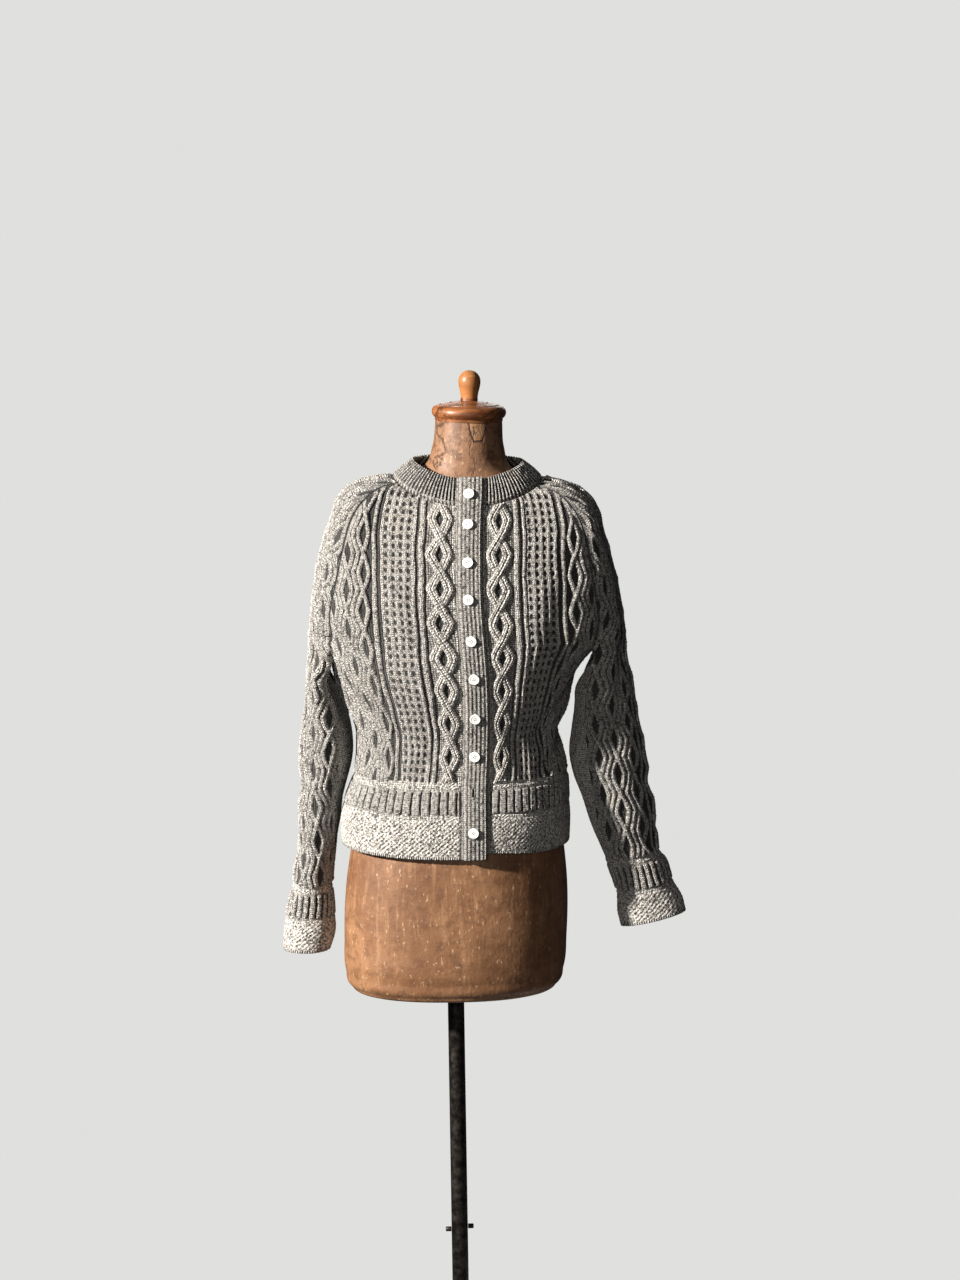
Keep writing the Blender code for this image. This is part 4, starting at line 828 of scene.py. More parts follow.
# a node tree that is written as calls
class Graph:
    def __init__(self, tree):
        self.tree = tree

    def find(self, sockets, key):
        if isinstance(key, int):
            return sockets[key]
        exact = [socket for socket in sockets if socket.identifier == key]
        return (exact or [socket for socket in sockets if socket.name == key and socket.enabled])[0]

    # any node: its type, its settings, the values or links of its sockets, and the output to take
    def add(self, kind, settings=None, values=None, take=0):
        node = self.tree.nodes.new(kind)
        for name, value in (settings or {}).items():
            if name == "stops":
                ramp = node.color_ramp
                ramp.elements[0].position, ramp.elements[0].color = value[0]
                ramp.elements[1].position, ramp.elements[1].color = value[-1]
                for place, colour in value[1:-1]:
                    ramp.elements.new(place).color = colour
            else:
                setattr(node, name, value)
        for key, value in (values or {}).items():
            socket = self.find(node.inputs, key)
            if isinstance(value, Num):
                self.tree.links.new(value.socket, socket)
            else:
                socket.default_value = value
        return Num(self, self.find(node.outputs, take))

    def mix(self, share, first, second):
        return self.add("ShaderNodeMix", {"data_type": "FLOAT"},
                        {"Factor_Float": share, "A_Float": first, "B_Float": second}, "Result_Float")

    def blend(self, share, first, second, way="MIX"):
        return self.add("ShaderNodeMix", {"data_type": "RGBA", "blend_type": way},
                        {"Factor_Float": share, "A_Color": first, "B_Color": second}, "Result_Color")

    def split(self, vector):
        node = self.add("ShaderNodeSeparateXYZ", None, {0: vector})
        return [Num(self, socket) for socket in node.socket.node.outputs]

    def join(self, x, y, z=0.0):
        return self.add("ShaderNodeCombineXYZ", None, {0: x, 1: y, 2: z})

    def noise(self, place, scale, detail=2.0, rough=0.5, stretch=None):
        if stretch:
            place = self.add("ShaderNodeVectorMath", {"operation": "MULTIPLY"}, {0: place, 1: stretch})
        return self.add("ShaderNodeTexNoise", None,
                        {"Vector": place, "Scale": scale, "Detail": detail, "Roughness": rough})


# a new tree with a geometry in and out, its named sizes, and a finish
def startTree(name, sizes):
    tree = bpy.data.node_groups.new(name, "GeometryNodeTree")
    tree.interface.new_socket("Geometry", in_out="INPUT", socket_type="NodeSocketGeometry")
    for size, value in sizes.items():
        tree.interface.new_socket(size, in_out="INPUT", socket_type="NodeSocketFloat").default_value = value
    tree.interface.new_socket("Finish", in_out="INPUT", socket_type="NodeSocketMaterial")
    tree.interface.new_socket("Geometry", in_out="OUTPUT", socket_type="NodeSocketGeometry")
    graph = Graph(tree)
    inner = tree.nodes.new("NodeGroupInput")
    sockets = {socket.name: Num(graph, socket) for socket in inner.outputs if socket.name}
    return graph, sockets


def endTree(graph, sockets, geometry):
    real = graph.add("GeometryNodeRealizeInstances", None, {"Geometry": geometry})
    done = graph.add("GeometryNodeSetMaterial", None, {"Geometry": real, "Material": sockets["Finish"]})
    out = graph.tree.nodes.new("NodeGroupOutput")
    graph.tree.links.new(done.socket, out.inputs[0])
    return graph.tree


# run a tree on a mesh once and keep the result as a plain mesh
def runTree(item, tree, finish, values=None):
    values = {**(values or {}), "Finish": finish}
    modifier = item.modifiers.new(tree.name, "NODES")
    modifier.node_group = tree
    for socket in tree.interface.items_tree:
        if socket.item_type == "SOCKET" and socket.in_out == "INPUT" and socket.name in values:
            modifier[socket.identifier] = values[socket.name]
    bpy.context.view_layer.update()
    graph = bpy.context.evaluated_depsgraph_get()
    real = item.evaluated_get(graph)
    mesh = bpy.data.meshes.new_from_object(real, preserve_all_data_layers=True, depsgraph=graph)
    item.modifiers.remove(modifier)
    item.data = mesh


def readAttribute(graph, name):
    return graph.add("GeometryNodeInputNamedAttribute", {"data_type": "FLOAT_VECTOR"}, {"Name": name}, "Attribute")


def storeAttribute(graph, geometry, name, value):
    return graph.add("GeometryNodeStoreNamedAttribute", {"data_type": "FLOAT_VECTOR", "domain": "POINT"},
                     {"Geometry": geometry, "Name": name, "Value": value})


# sizes that all the knitting shares, in metres; a hand-knit chart drifts, and its stitches are uneven; weltShade is
# the painted shade between the welt's ribs
knitting = {
    "stitchWide": 0.0032, "stitchHigh": 0.0029, "ropeHigh": 0.0036, "roundness": 0.45, "knobbly": 0.09,
    "drift": 0.0075, "driftScales": (22.0, 17.0, 90.0), "uneven": 0.0015, "unevenScale": 260.0,
    "ridge": 0.0012, "ridgeHalf": 0.0026, "mossWide": 0.0040, "mossHigh": 0.0031, "mossRise": 0.0011,
    "mossBump": 0.0003, "crestFrom": 0.0004, "crestTo": 0.0031, "panelEdge": 0.0015, "weltFade": 0.003,
    "startFade": (0.001, 0.006), "weltShade": 0.80,
}


# rounded rib: 1 on its crest, 0 from its half width outwards
def rib(distance, half):
    part = distance / half
    return (1.0 - part * part).top(0.0) ** knitting["roundness"]


# triangle wave from -1 to 1 that crosses 0 at each whole turn
def zigzag(turns):
    return 1.0 - 2.0 * abs((turns + 0.5).wrap(2.0) - 1.0)


# what the chart gives at a point: height, stitch across and along, how purl, moss or open it is, and how deep in
# painted shade
class Chart:
    def __init__(self, graph, p, q):
        self.graph, self.p, self.q = graph, p, q
        self.height = p * 0.0
        self.across = p / knitting["stitchWide"]
        self.along = q / knitting["stitchHigh"]
        self.ground = 1.0 - p * 0.0
        self.moss = p * 0.0
        self.hole = p * 0.0 - 1.0
        self.pit = p * 0.0

    # lay a raised feature over what is there, with its own stitch directions
    def lay(self, height, across, along):
        wins = height.over(self.height + 0.00002)
        self.across = self.graph.mix(wins, self.across, across)
        self.along = self.graph.mix(wins, self.along, along)
        self.ground = self.ground * (1.0 - wins)
        self.height = self.height.top(height)

    def ribAt(self, p, centre, half, height, columns=2):
        away = p - centre
        self.lay(rib(away, half) * height, away / half * columns / 2, self.q / knitting["stitchHigh"])

    # between two distances the low parts get painted shade, as if the raised ones shaded them
    def shade(self, p, first, last, share):
        self.pit = self.pit.top(p.over(first) * (last - p).over(0.0) * share)

    # a level stretch between two distances, knitted plain
    def panel(self, p, first, last, height):
        edge = knitting["panelEdge"]
        share = p.between(first, first + edge) * p.between(last, last - edge)
        self.lay(share * height, p / knitting["stitchWide"], self.q / knitting["stitchHigh"])

    # one strand of two stitch columns that follows a sideways swing, with its stitches turned along it
    def strand(self, away, slope, lean, half, height, depth):
        steep = 1.0 / math.sqrt(1 + lean ** 2)
        part = away * (steep / half)
        groove = 1.0 - (1.0 - abs(part) * 3.6).top(0.0) * depth
        along = (self.q / steep + slope * away * (lean * steep)) / knitting["ropeHigh"]
        knobbly = 1.0 - knitting["knobbly"] + (along * (2 * math.pi)).cosine() * knitting["knobbly"]
        self.lay(rib(part, 1.0) * groove * knobbly * height, part, along)

    # two strands that cross at each pitch, one over the other by turns
    def diamonds(self, p, cable, centre):
        turns = self.q / cable["pitch"] + cable["phase"]
        wave = zigzag(turns)
        wave = wave * (1.2 - wave * wave * 0.2)
        slope = 1.0 - 2.0 * (turns + 0.5).wrap(2.0).over(1.0)
        lean = 2 * cable["swing"] / cable["pitch"]
        near = (1.0 - abs(wave) / 0.6).top(0.0) * cable["twist"]
        for way in (1, -1):
            self.strand(p - centre - wave * (cable["swing"] * way), slope * way, lean, cable["half"],
                        cable["height"] * (1.0 + near * slope * way), cable["groove"])

    # one strand that bends out and back once in each pitch
    def snake(self, p, cable, centre, swing):
        turns = self.q / cable["pitch"] + cable["phase"]
        wave = zigzag(turns)
        side = 1.0 - 2.0 * (turns + 0.5).wrap(1.0).over(0.5)
        self.strand(p - centre - (2.0 * abs(wave) - 1.0) * swing, side, 4 * swing / cable["pitch"],
                    cable["half"], cable["height"], cable["groove"])

    # fade the whole chart in above the welt
    def startAt(self, begin):
        share = self.q.between(*[begin + fade for fade in knitting["startFade"]])
        self.height = self.height * share
        self.pit = self.pit * share
        self.hole = self.hole * share - (1.0 - share)
        self.ground = self.ground * share + (1.0 - share)

    # moss border, purl ridge, wide ribs with painted shade between them, and a second purl ridge above an edge
    def welt(self, p, sizes):
        low, high = sizes["ribs"]
        fade = knitting["weltFade"]
        inside = self.q.between(low, low + fade) * self.q.between(high, high - fade)
        side = abs((p / sizes["pitch"]).wrap(1.0) - 0.5) * sizes["pitch"]
        ribs = side.between(sizes["groove"] * 0.3, sizes["groove"]) * sizes["height"]
        self.lay(ribs * inside, side / knitting["stitchWide"], self.q / knitting["stitchHigh"])
        self.pit = self.pit.top(inside * knitting["weltShade"])
        ridges = (rib(self.q - sizes["moss"] - 0.001, knitting["ridgeHalf"])
                  + rib(self.q - sizes["top"], knitting["ridgeHalf"]))
        mossHere = self.q.between(sizes["moss"] - 0.001, sizes["moss"] - 0.003)
        bumps = (p * (math.pi / knitting["mossWide"])).cosine() * (self.q * (math.pi / knitting["mossHigh"])).cosine()
        rise = knitting["mossRise"] + bumps * knitting["mossBump"]
        self.height = self.height + knitting["ridge"] * ridges + mossHere * rise
        self.moss = mossHere

    def finish(self, geometry, raising):
        graph = self.graph
        crest = self.height.between(knitting["crestFrom"], knitting["crestTo"])
        # the pits' painted shade joins the painted-dark eyelets and buttonhole, for the wool material to darken
        self.hole = self.hole.top(self.pit * (1.6 - crest * 1.4) - 1.0)
        lumps = graph.noise(graph.add("GeometryNodeInputPosition"), knitting["unevenScale"], 1.0) - 0.5
        self.height = self.height + lumps * knitting["uneven"]
        placed = graph.add("GeometryNodeSetPosition", None, {
            "Geometry": geometry,
            "Offset": graph.add("ShaderNodeVectorMath", {"operation": "SCALE"},
                                {0: readAttribute(graph, "outward"), "Scale": self.height * raising.top(0.0)})})
        stored = storeAttribute(graph, placed, "stitch", graph.join(self.across, self.along, crest))
        return storeAttribute(graph, stored, "kind", graph.join(self.ground, self.moss, self.hole))


# moss border, wide ribs and the ridge above them, at the hem and at the cuffs
hemWelt = {"moss": 0.056, "ribs": (0.060, 0.095), "top": 0.098, "pitch": 0.0144, "groove": 0.0026, "height": 0.0028}
cuffWelt = {"moss": 0.044, "ribs": (0.048, 0.084), "top": 0.087, "pitch": 0.0093, "groove": 0.0022, "height": 0.0026}

# the cable beside each band and down each sleeve
lattice = {"centre": 0.0380, "swing": 0.0118, "pitch": 0.0464, "phase": 0.50, "half": 0.0066, "height": 0.0046,
           "twist": 0.34, "groove": 0.42}

# the crossing ropes of the sides; snake is the swing of the single wavy rope between two crossing pairs
ropes = {"first": 0.1445, "step": 0.0243, "many": 5, "swing": 0.0082, "snake": 0.0041, "pitch": 0.0510,
         "phase": 0.873, "half": 0.0032, "height": 0.0041, "twist": 0.30, "groove": 0.18}

# four columns of eyelets on a level panel, with a rib between two columns
openwork = {"first": 0.0805, "step": 0.0105, "columns": 4, "half": 0.0036, "height": 0.0020, "level": 0.0011,
            "rise": 0.0114, "holeWide": 0.0023, "holeHigh": 0.0034, "depth": 0.0036, "margin": 0.0045, "wide": 0.0360}

# plain ribs of the fronts: centre, half-width, height, stitch columns
frontRibs = (
    (0.0625, 0.0042, 0.0030, 2), (0.0728, 0.0024, 0.0026, 1),
    (0.1172, 0.0025, 0.0022, 1), (0.1285, 0.0034, 0.0026, 2),
)

# stretches of the fronts and the back whose low parts get painted shade: from, to and how deep the shade is
bodyShades = (
    (lattice["centre"] - 0.0175, lattice["centre"] + 0.0205, 0.66),
    (lattice["centre"] - 0.0060, lattice["centre"] + 0.0060, 1.0),
    (0.0560, openwork["first"] - openwork["margin"], 0.74),
    (openwork["first"] + 0.0350, 1.0, 0.84),
)


# how far a point is inside the nearest eyelet: above 0 in the hole, 1 at its middle
def eyelets(p, q):
    column = ((p - openwork["first"]) / openwork["step"] + 0.5).wrap(1.0) - 0.5
    across = column * (openwork["step"] / openwork["holeWide"])
    along = ((q / openwork["rise"]).wrap(1.0) - 0.5) * (openwork["rise"] / openwork["holeHigh"])
    reach = (openwork["columns"] - 0.5) * openwork["step"]
    here = (p - (openwork["first"] - openwork["step"] / 2)).over(0.0) * (openwork["first"] + reach - p).over(0.0)
    return (1.0 - (across * across + along * along) ** 0.5).top(-1.0) * here - (1.0 - here)


# the stored chart, drifting a little as hand knitting does
def handChart(graph):
    p, q, raising = graph.split(readAttribute(graph, "chart"))
    place = graph.add("GeometryNodeInputPosition")
    drift = knitting["drift"]
    up, out, wander = knitting["driftScales"]
    along = (graph.noise(place, up, 1.0) - 0.5) * drift
    across = (graph.noise(place, out, 1.0) - 0.5) * drift + (graph.noise(place, wander, 1.0) - 0.5) * (drift * 0.25)
    return p + across, q + along, raising


# every second pair of ropes crosses half a pitch higher
def ropePairs(chart, p, first, many):
    for k in range(many):
        cable = {**ropes, "phase": ropes["phase"] + 0.5 * (k % 2)}
        chart.diamonds(p, cable, first + k * ropes["step"])
        chart.snake(p, cable, first + (k + 0.5) * ropes["step"], ropes["snake"])


def bodyTree():
    graph, sockets = startTree("bodyKnit", {"Eyelet depth": openwork["depth"], "Chart shift": 0.0})
    p, q, raising = handChart(graph)
    p = abs(p) + sockets["Chart shift"]
    chart = Chart(graph, p, q)
    chart.panel(p, openwork["first"] - openwork["margin"], openwork["first"] + openwork["wide"], openwork["level"])
    for k in range(openwork["columns"] - 1):
        chart.ribAt(p, openwork["first"] + (k + 0.5) * openwork["step"], openwork["half"], openwork["height"], 2)
    for centre, half, height, columns in frontRibs:
        chart.ribAt(p, centre, half, height, columns)
    chart.diamonds(p, lattice, lattice["centre"])
    ropePairs(chart, p, ropes["first"], ropes["many"])
    for first, last, share in bodyShades:
        chart.shade(p, first, last, share)
    # eyelets sink in and are painted dark, as painted shade in place of a real hole
    chart.hole = (eyelets(p, q) * 2.0).top(-1.0)
    chart.height = chart.height - chart.hole.between(-0.4, 0.8) * sockets["Eyelet depth"]
    chart.startAt(hemWelt["top"] + 0.003)
    chart.welt(p, hemWelt)
    return endTree(graph, sockets, chart.finish(sockets["Geometry"], raising))


# a rib on each side of the sleeve's cable, then pairs of ropes; the low parts of all of them get one depth of painted
# shade
sleeveKnit = {"rib": 0.0235, "ribHalf": 0.0030, "ribHigh": 0.0026, "ropes": 0.0400, "many": 3, "shadeTo": 2.7,
              "shade": 0.84}


def sleeveTree():
    graph, sockets = startTree("sleeveKnit", {"Rib height": sleeveKnit["ribHigh"]})
    p, q, raising = handChart(graph)
    side = abs(p)
    chart = Chart(graph, side, q)
    chart.ribAt(side, sleeveKnit["rib"], sleeveKnit["ribHalf"], sockets["Rib height"])
    chart.diamonds(p, lattice, 0.0)
    ropePairs(chart, side, sleeveKnit["ropes"], sleeveKnit["many"])
    chart.shade(side, -1.0, sleeveKnit["ropes"] + sleeveKnit["shadeTo"] * ropes["step"], sleeveKnit["shade"])
    chart.startAt(cuffWelt["top"] + 0.003)
    chart.welt(p, cuffWelt)
    return endTree(graph, sockets, chart.finish(sockets["Geometry"], raising))


# the front bands, and the empty buttonhole: half-widths of the gap and of its rim, half-height, depth,
# height of its middle and rise of the rim
bandKnit = {"pitch": 0.0055, "height": 0.0014, "shade": 0.68, "share": 0.47, "ridge": 0.0}
slit = {"wide": 0.0016, "edge": 0.0034, "high": 0.0068, "depth": 0.0030, "place": 0.980, "rim": 0.0010}


# single ribs, each one stitch wide, with deep gaps between that get painted shade
def ribTree(name, sizes):
    graph, sockets = startTree(name, {"Pitch": sizes["pitch"], "Height": sizes["height"], "Slit height": -1.0})
    p, q, raising = graph.split(readAttribute(graph, "chart"))
    chart = Chart(graph, p, q)
    away = ((p / sockets["Pitch"] + 0.5).wrap(1.0) - 0.5) * sockets["Pitch"]
    chart.lay(rib(away, sockets["Pitch"] * sizes["share"]) * sockets["Height"], away / sizes["pitch"] * 2.0 + 0.5,
              q / knitting["stitchHigh"])
    chart.shade(p, -10.0, 10.0, sizes["shade"])
    if sizes["ridge"]:
        chart.height = chart.height.top(rib(q - sizes["ridgeAt"], sizes["ridgeHalf"]) * sizes["ridge"])
    up = (q - sockets["Slit height"]) / slit["high"]
    gap = 1.0 - ((p / slit["wide"]) * (p / slit["wide"]) + up * up) ** 0.5
    edge = 1.0 - ((p / slit["edge"]) * (p / slit["edge"]) + up * up * 0.7) ** 0.5
    chart.height = chart.height + edge.between(0.0, 0.4) * slit["rim"] - gap.between(-0.2, 0.3) * slit["depth"]
    # painted shade: the slit's gap is painted dark, as the shade inside a real buttonhole
    chart.hole = (gap * 0.8).top(-1.0)
    return endTree(graph, sockets, chart.finish(sockets["Geometry"], raising))


def startMaterial(name, **fixed):
    material = bpy.data.materials.new(name)
    material.use_nodes = True
    graph = Graph(material.node_tree)
    shader = material.node_tree.nodes["Principled BSDF"]
    for socket, value in fixed.items():
        shader.inputs[socket.replace("_", " ")].default_value = value
    return material, graph, shader


def feed(graph, shader, **links):
    for socket, value in links.items():
        graph.tree.links.new(value.socket, shader.inputs[socket.replace("_", " ")])


def bump(graph, height, distance, strength=1.0):
    return graph.add("ShaderNodeBump", None, {"Height": height, "Distance": distance, "Strength": strength})


# dark, grey and nearly white fibres spun together, a little browned with age, and the depth of painted shade in gaps,
# moss and pits; sizes in metres
woolLook = {
    "fibres": ((0.40, (0.105, 0.094, 0.082, 1)), (0.470, (0.68, 0.64, 0.585, 1)), (0.550, (0.98, 0.95, 0.90, 1))),
    "brown": (0.86, 0.76, 0.64, 1), "browned": 0.35, "fleckScale": 290.0, "fuzzScale": 1500.0, "cloudScale": 26.0,
    "wobbleScale": 170.0, "stitchDepth": 0.0024, "mossCell": (0.0046, 0.0036), "mossShade": 0.36,
    "loopWide": 0.0034, "loopHigh": 0.0040, "gapShade": 0.66, "pitShade": 0.94,
}


def woolMaterial():
    material, graph, shader = startMaterial("greyMarlWool", Roughness=0.93, Sheen_Weight=0.12, Sheen_Roughness=0.5)
    place = graph.add("ShaderNodeTexCoord", None, None, "Object")
    stitch, (ground, moss, hole), (p, q, raising) = [
        graph.split(graph.add("ShaderNodeAttribute", {"attribute_name": name}, None, "Vector"))
        for name in ("stitch", "kind", "chart")]
    wobble = (graph.noise(place, woolLook["wobbleScale"], 1.0) - 0.5) * 0.9
    x, y = stitch[0] + wobble * 0.5, stitch[1] + wobble
    leg = abs(x.wrap(1.0) - 0.5)
    knit = ((leg * (4 * math.pi) - math.pi).cosine() * 0.5 + 0.5) ** 0.6 * (
        ((y + leg * 1.15) * (2 * math.pi)).cosine() * 0.42 + 0.58)
    purl = ((y * (2 * math.pi)).cosine() * 0.42 + 0.58) * ((x * (2 * math.pi)).cosine() * 0.3 + 0.7)
    bumps = ((p + wobble * 0.0050) * (math.pi / knitting["mossWide"])).cosine() * (
        (q + wobble * 0.0036) * (math.pi / knitting["mossHigh"])).cosine()
    wide, high = woolLook["mossCell"]
    cells = graph.add("ShaderNodeTexVoronoi", {"voronoi_dimensions": "2D"},
                      {"Vector": graph.join(p / wide, q / high), "Scale": 1.0, "Randomness": 1.0})
    mossy = bumps.between(-0.9, 0.5) * 0.55 + cells.between(0.75, 0.25) * 0.45
    height = graph.mix(moss, graph.mix(ground, knit, purl), mossy)
    loops = ((p + (wobble * 0.001)) * (2 * math.pi / woolLook["loopWide"])).cosine() * 0.5 + 0.5
    height = graph.mix(moss * q.between(woolLook["loopHigh"], woolLook["loopHigh"] * 0.8), height, loops)
    fuzz = graph.noise(place, woolLook["fuzzScale"], 3.0, 0.7)
    fleck = graph.noise(place, woolLook["fleckScale"], 3.0, 0.82)
    cloud = graph.noise(place, woolLook["cloudScale"], 3.0, 0.6)
    tone = graph.add("ShaderNodeValToRGB", {"stops": woolLook["fibres"]}, {0: fleck * 0.90 + cloud * 0.10})
    # painted shade: the low parts of each stitch are painted darker, and so are the pits, eyelets, buttonhole and
    # sunk seams that the trees mark; moss stitch is painted darker all over
    gap = height.between(0.05, 0.66) * woolLook["gapShade"] + (1.0 - woolLook["gapShade"])
    dim = hole.between(-0.20, 0.25).top((-raising).between(0.05, 0.7) * 0.8) * woolLook["pitShade"]
    shade = gap * (1.0 - dim) * (1.0 - moss * woolLook["mossShade"])
    grey = graph.add("ShaderNodeCombineColor", None, {0: shade, 1: shade, 2: shade})
    coloured = graph.blend(1.0, tone, grey, "MULTIPLY")
    brown = graph.blend(1.0, coloured, woolLook["brown"], "MULTIPLY")
    aged = graph.blend(cloud.between(0.52, 0.75) * woolLook["browned"], coloured, brown)
    feed(graph, shader, Base_Color=aged,
         Normal=bump(graph, height + fuzz * 0.25 + fleck * 0.5, woolLook["stitchDepth"], 1.0))
    return material


# one-coloured materials: two shades, grain scale and depth, roughness and metal
plainLooks = {
    "blackenedSteel": {"shades": ((0.018, 0.016, 0.014, 1), (0.060, 0.052, 0.045, 1)), "scale": 90.0, "depth": 0.0006,
                       "rough": 0.34, "metal": 0.8},
    "castIron": {"shades": ((0.020, 0.019, 0.018, 1), (0.050, 0.046, 0.042, 1)), "scale": 140.0, "depth": 0.0012,
                 "rough": 0.50, "metal": 0.6},
    "buttonShell": {"shades": ((0.88, 0.87, 0.83, 1), (0.95, 0.94, 0.91, 1)), "scale": 120.0, "depth": 0.0002,
                    "rough": 0.35, "metal": 0.0},
}


def plainMaterial(name):
    look = plainLooks[name]
    material, graph, shader = startMaterial(name, Metallic=look["metal"])
    place = graph.add("ShaderNodeTexCoord", None, None, "Object")
    grain = graph.noise(place, look["scale"], 5.0, 0.65)
    share = grain.between(0.35, 0.68)
    feed(graph, shader, Base_Color=graph.blend(share, *look["shades"]), Roughness=share * 0.18 + look["rough"],
         Normal=bump(graph, grain, look["depth"], 0.7))
    return material


# browns of the old papier-mache, and the flake that has come off its neck
papierLook = {
    "dark": (0.160, 0.070, 0.029, 1), "tan": (0.270, 0.134, 0.062, 1), "band": (0.120, 0.050, 0.020, 1),
    "worn": (0.40, 0.22, 0.115, 1), "neck": (0.225, 0.114, 0.058, 1), "dirt": (0.090, 0.036, 0.015, 1),
    "pale": (0.52, 0.34, 0.21, 1), "fleck": (0.58, 0.41, 0.26, 1), "bare": (0.33, 0.18, 0.085, 1),
    "crack": (0.040, 0.016, 0.007, 1), "crackScale": 24.0, "neckFrom": 1.33, "neckTo": 1.39,
}
flake = {"top": 1.478, "high": 0.026, "half": 0.0120, "middle": 0.0425}


def papierMaterial():
    material, graph, shader = startMaterial("papierMache")
    place = graph.add("ShaderNodeTexCoord", None, None, "Object")
    x, y, z = graph.split(place)
    neck = z.between(papierLook["neckFrom"], papierLook["neckTo"])
    cloud = graph.noise(place, 11.0, 6.0, 0.62, (1.0, 1.0, 0.5))
    spot = graph.noise(place, 60.0, 5.0, 0.68)
    fine = graph.noise(place, 240.0, 3.0, 0.62, (1.0, 1.0, 0.45))
    streak = graph.noise(place, 120.0, 3.0, 0.65, (1.0, 1.0, 0.09))
    tan = graph.blend(cloud.between(0.36, 0.66), papierLook["dark"], papierLook["tan"])
    smear = graph.noise(place, 34.0, 5.0, 0.7, (0.22, 0.22, 1.0))
    banded = graph.blend(smear.between(0.50, 0.66) * 0.45, tan, papierLook["band"])
    worn = graph.blend(streak.between(0.52, 0.68) * 0.34, banded, papierLook["worn"])
    ground = graph.blend(neck, worn, papierLook["neck"])
    dirty = graph.blend(spot.between(0.48, 0.62) * graph.mix(neck, 0.45, 0.68), ground, papierLook["dirt"])
    pale = graph.blend(spot.between(0.38, 0.30) * 0.35, dirty, papierLook["pale"])
    flecks = graph.blend(fine.between(0.63, 0.69) * 0.55, pale, papierLook["fleck"])
    bent = graph.add("ShaderNodeVectorMath", {"operation": "ADD"}, {
        0: place, 1: graph.join((cloud - 0.5) * 0.05, (spot - 0.5) * 0.03, (spot - 0.5) * 0.04)})
    crack = graph.add("ShaderNodeTexVoronoi", {"feature": "DISTANCE_TO_EDGE"},
                      {"Vector": bent, "Scale": papierLook["crackScale"]}, "Distance")
    fallen = (flake["top"] - z) / flake["high"]
    half = flake["half"] * (1.0 - fallen * 0.55) + (spot - 0.5) * 0.008
    away = abs(x - flake["middle"] + (cloud - 0.5) * 0.01) - half
    inside = away.between(0.0008, -0.0008) * fallen.between(1.04, 0.96) * y.between(0.01, 0.0)
    rim = away.between(0.0034, 0.0006) * fallen.between(1.14, 1.06) * y.between(0.01, 0.0) - inside
    line = (crack.between(0.045, 0.0) * cloud.between(0.40, 0.52) * neck).top(rim)
    bare = graph.blend(inside * 0.8, flecks, papierLook["bare"])
    colour = graph.blend(line * 0.9, bare, papierLook["crack"])
    feed(graph, shader, Base_Color=colour, Roughness=0.46 + fine * 0.25 + line * 0.2,
         Normal=bump(graph, cloud * 0.3 + spot * 0.4 + fine * 0.14 - line * 0.35, 0.004, 0.6))
    return material


# varnished wood of cap and knob; the knob is paler above a height
woodLook = {"dark": (0.085, 0.026, 0.008, 1), "mid": (0.265, 0.092, 0.028, 1), "knob": (0.46, 0.190, 0.058, 1),
            "worn": (0.52, 0.27, 0.12, 1), "knobFrom": 1.5060, "knobTo": 1.5080}


def woodMaterial():
    material, graph, shader = startMaterial("varnishedWood", Coat_Roughness=0.25, Specular_IOR_Level=0.35)
    place = graph.add("ShaderNodeTexCoord", None, None, "Object")
    grain = graph.noise(place, 60.0, 5.0, 0.6, (0.25, 1.6, 1.6))
    fine = graph.noise(place, 300.0, 3.0, 0.6, (0.12, 1.0, 1.0))
    colour = graph.blend(grain.between(0.35, 0.65), woodLook["dark"], woodLook["mid"])
    onKnob = graph.split(place)[2].between(woodLook["knobFrom"], woodLook["knobTo"])
    colour = graph.blend(onKnob * 0.50, colour, woodLook["knob"])
    worn = graph.blend(fine.between(0.58, 0.70) * 0.4, colour, woodLook["worn"])
    feed(graph, shader, Base_Color=worn, Roughness=fine * 0.2 + 0.34, Coat_Weight=0.35 - fine * 0.3,
         Normal=bump(graph, grain * 0.6 + fine * 0.4, 0.0012, 0.5))
    return material


finishes = {
    "wool": woolMaterial(),
    "papier": papierMaterial(),
    "wood": woodMaterial(),
    "steel": plainMaterial("blackenedSteel"),
    "iron": plainMaterial("castIron"),
    "shell": plainMaterial("buttonShell"),
}
print("finishes made")


# put a mesh, lamp or camera into the scene under a name
def addItem(name, data):
    item = bpy.data.objects.new(name, data)
    bpy.context.scene.collection.objects.link(item)
    return item


def addMesh(name, verts, faces, finish=None):
    mesh = bpy.data.meshes.new(name)
    mesh.from_pydata([tuple(v) for v in np.asarray(verts).tolist()], [], faces)
    if finish:
        mesh.materials.append(finishes[finish])
    if faces:
        mesh.shade_smooth()
    return addItem(name, mesh)


def storeVectors(mesh, name, values):
    stored = mesh.attributes.new(name, "FLOAT_VECTOR", "POINT")
    stored.data.foreach_set("vector", np.asarray(values, np.float32).ravel())


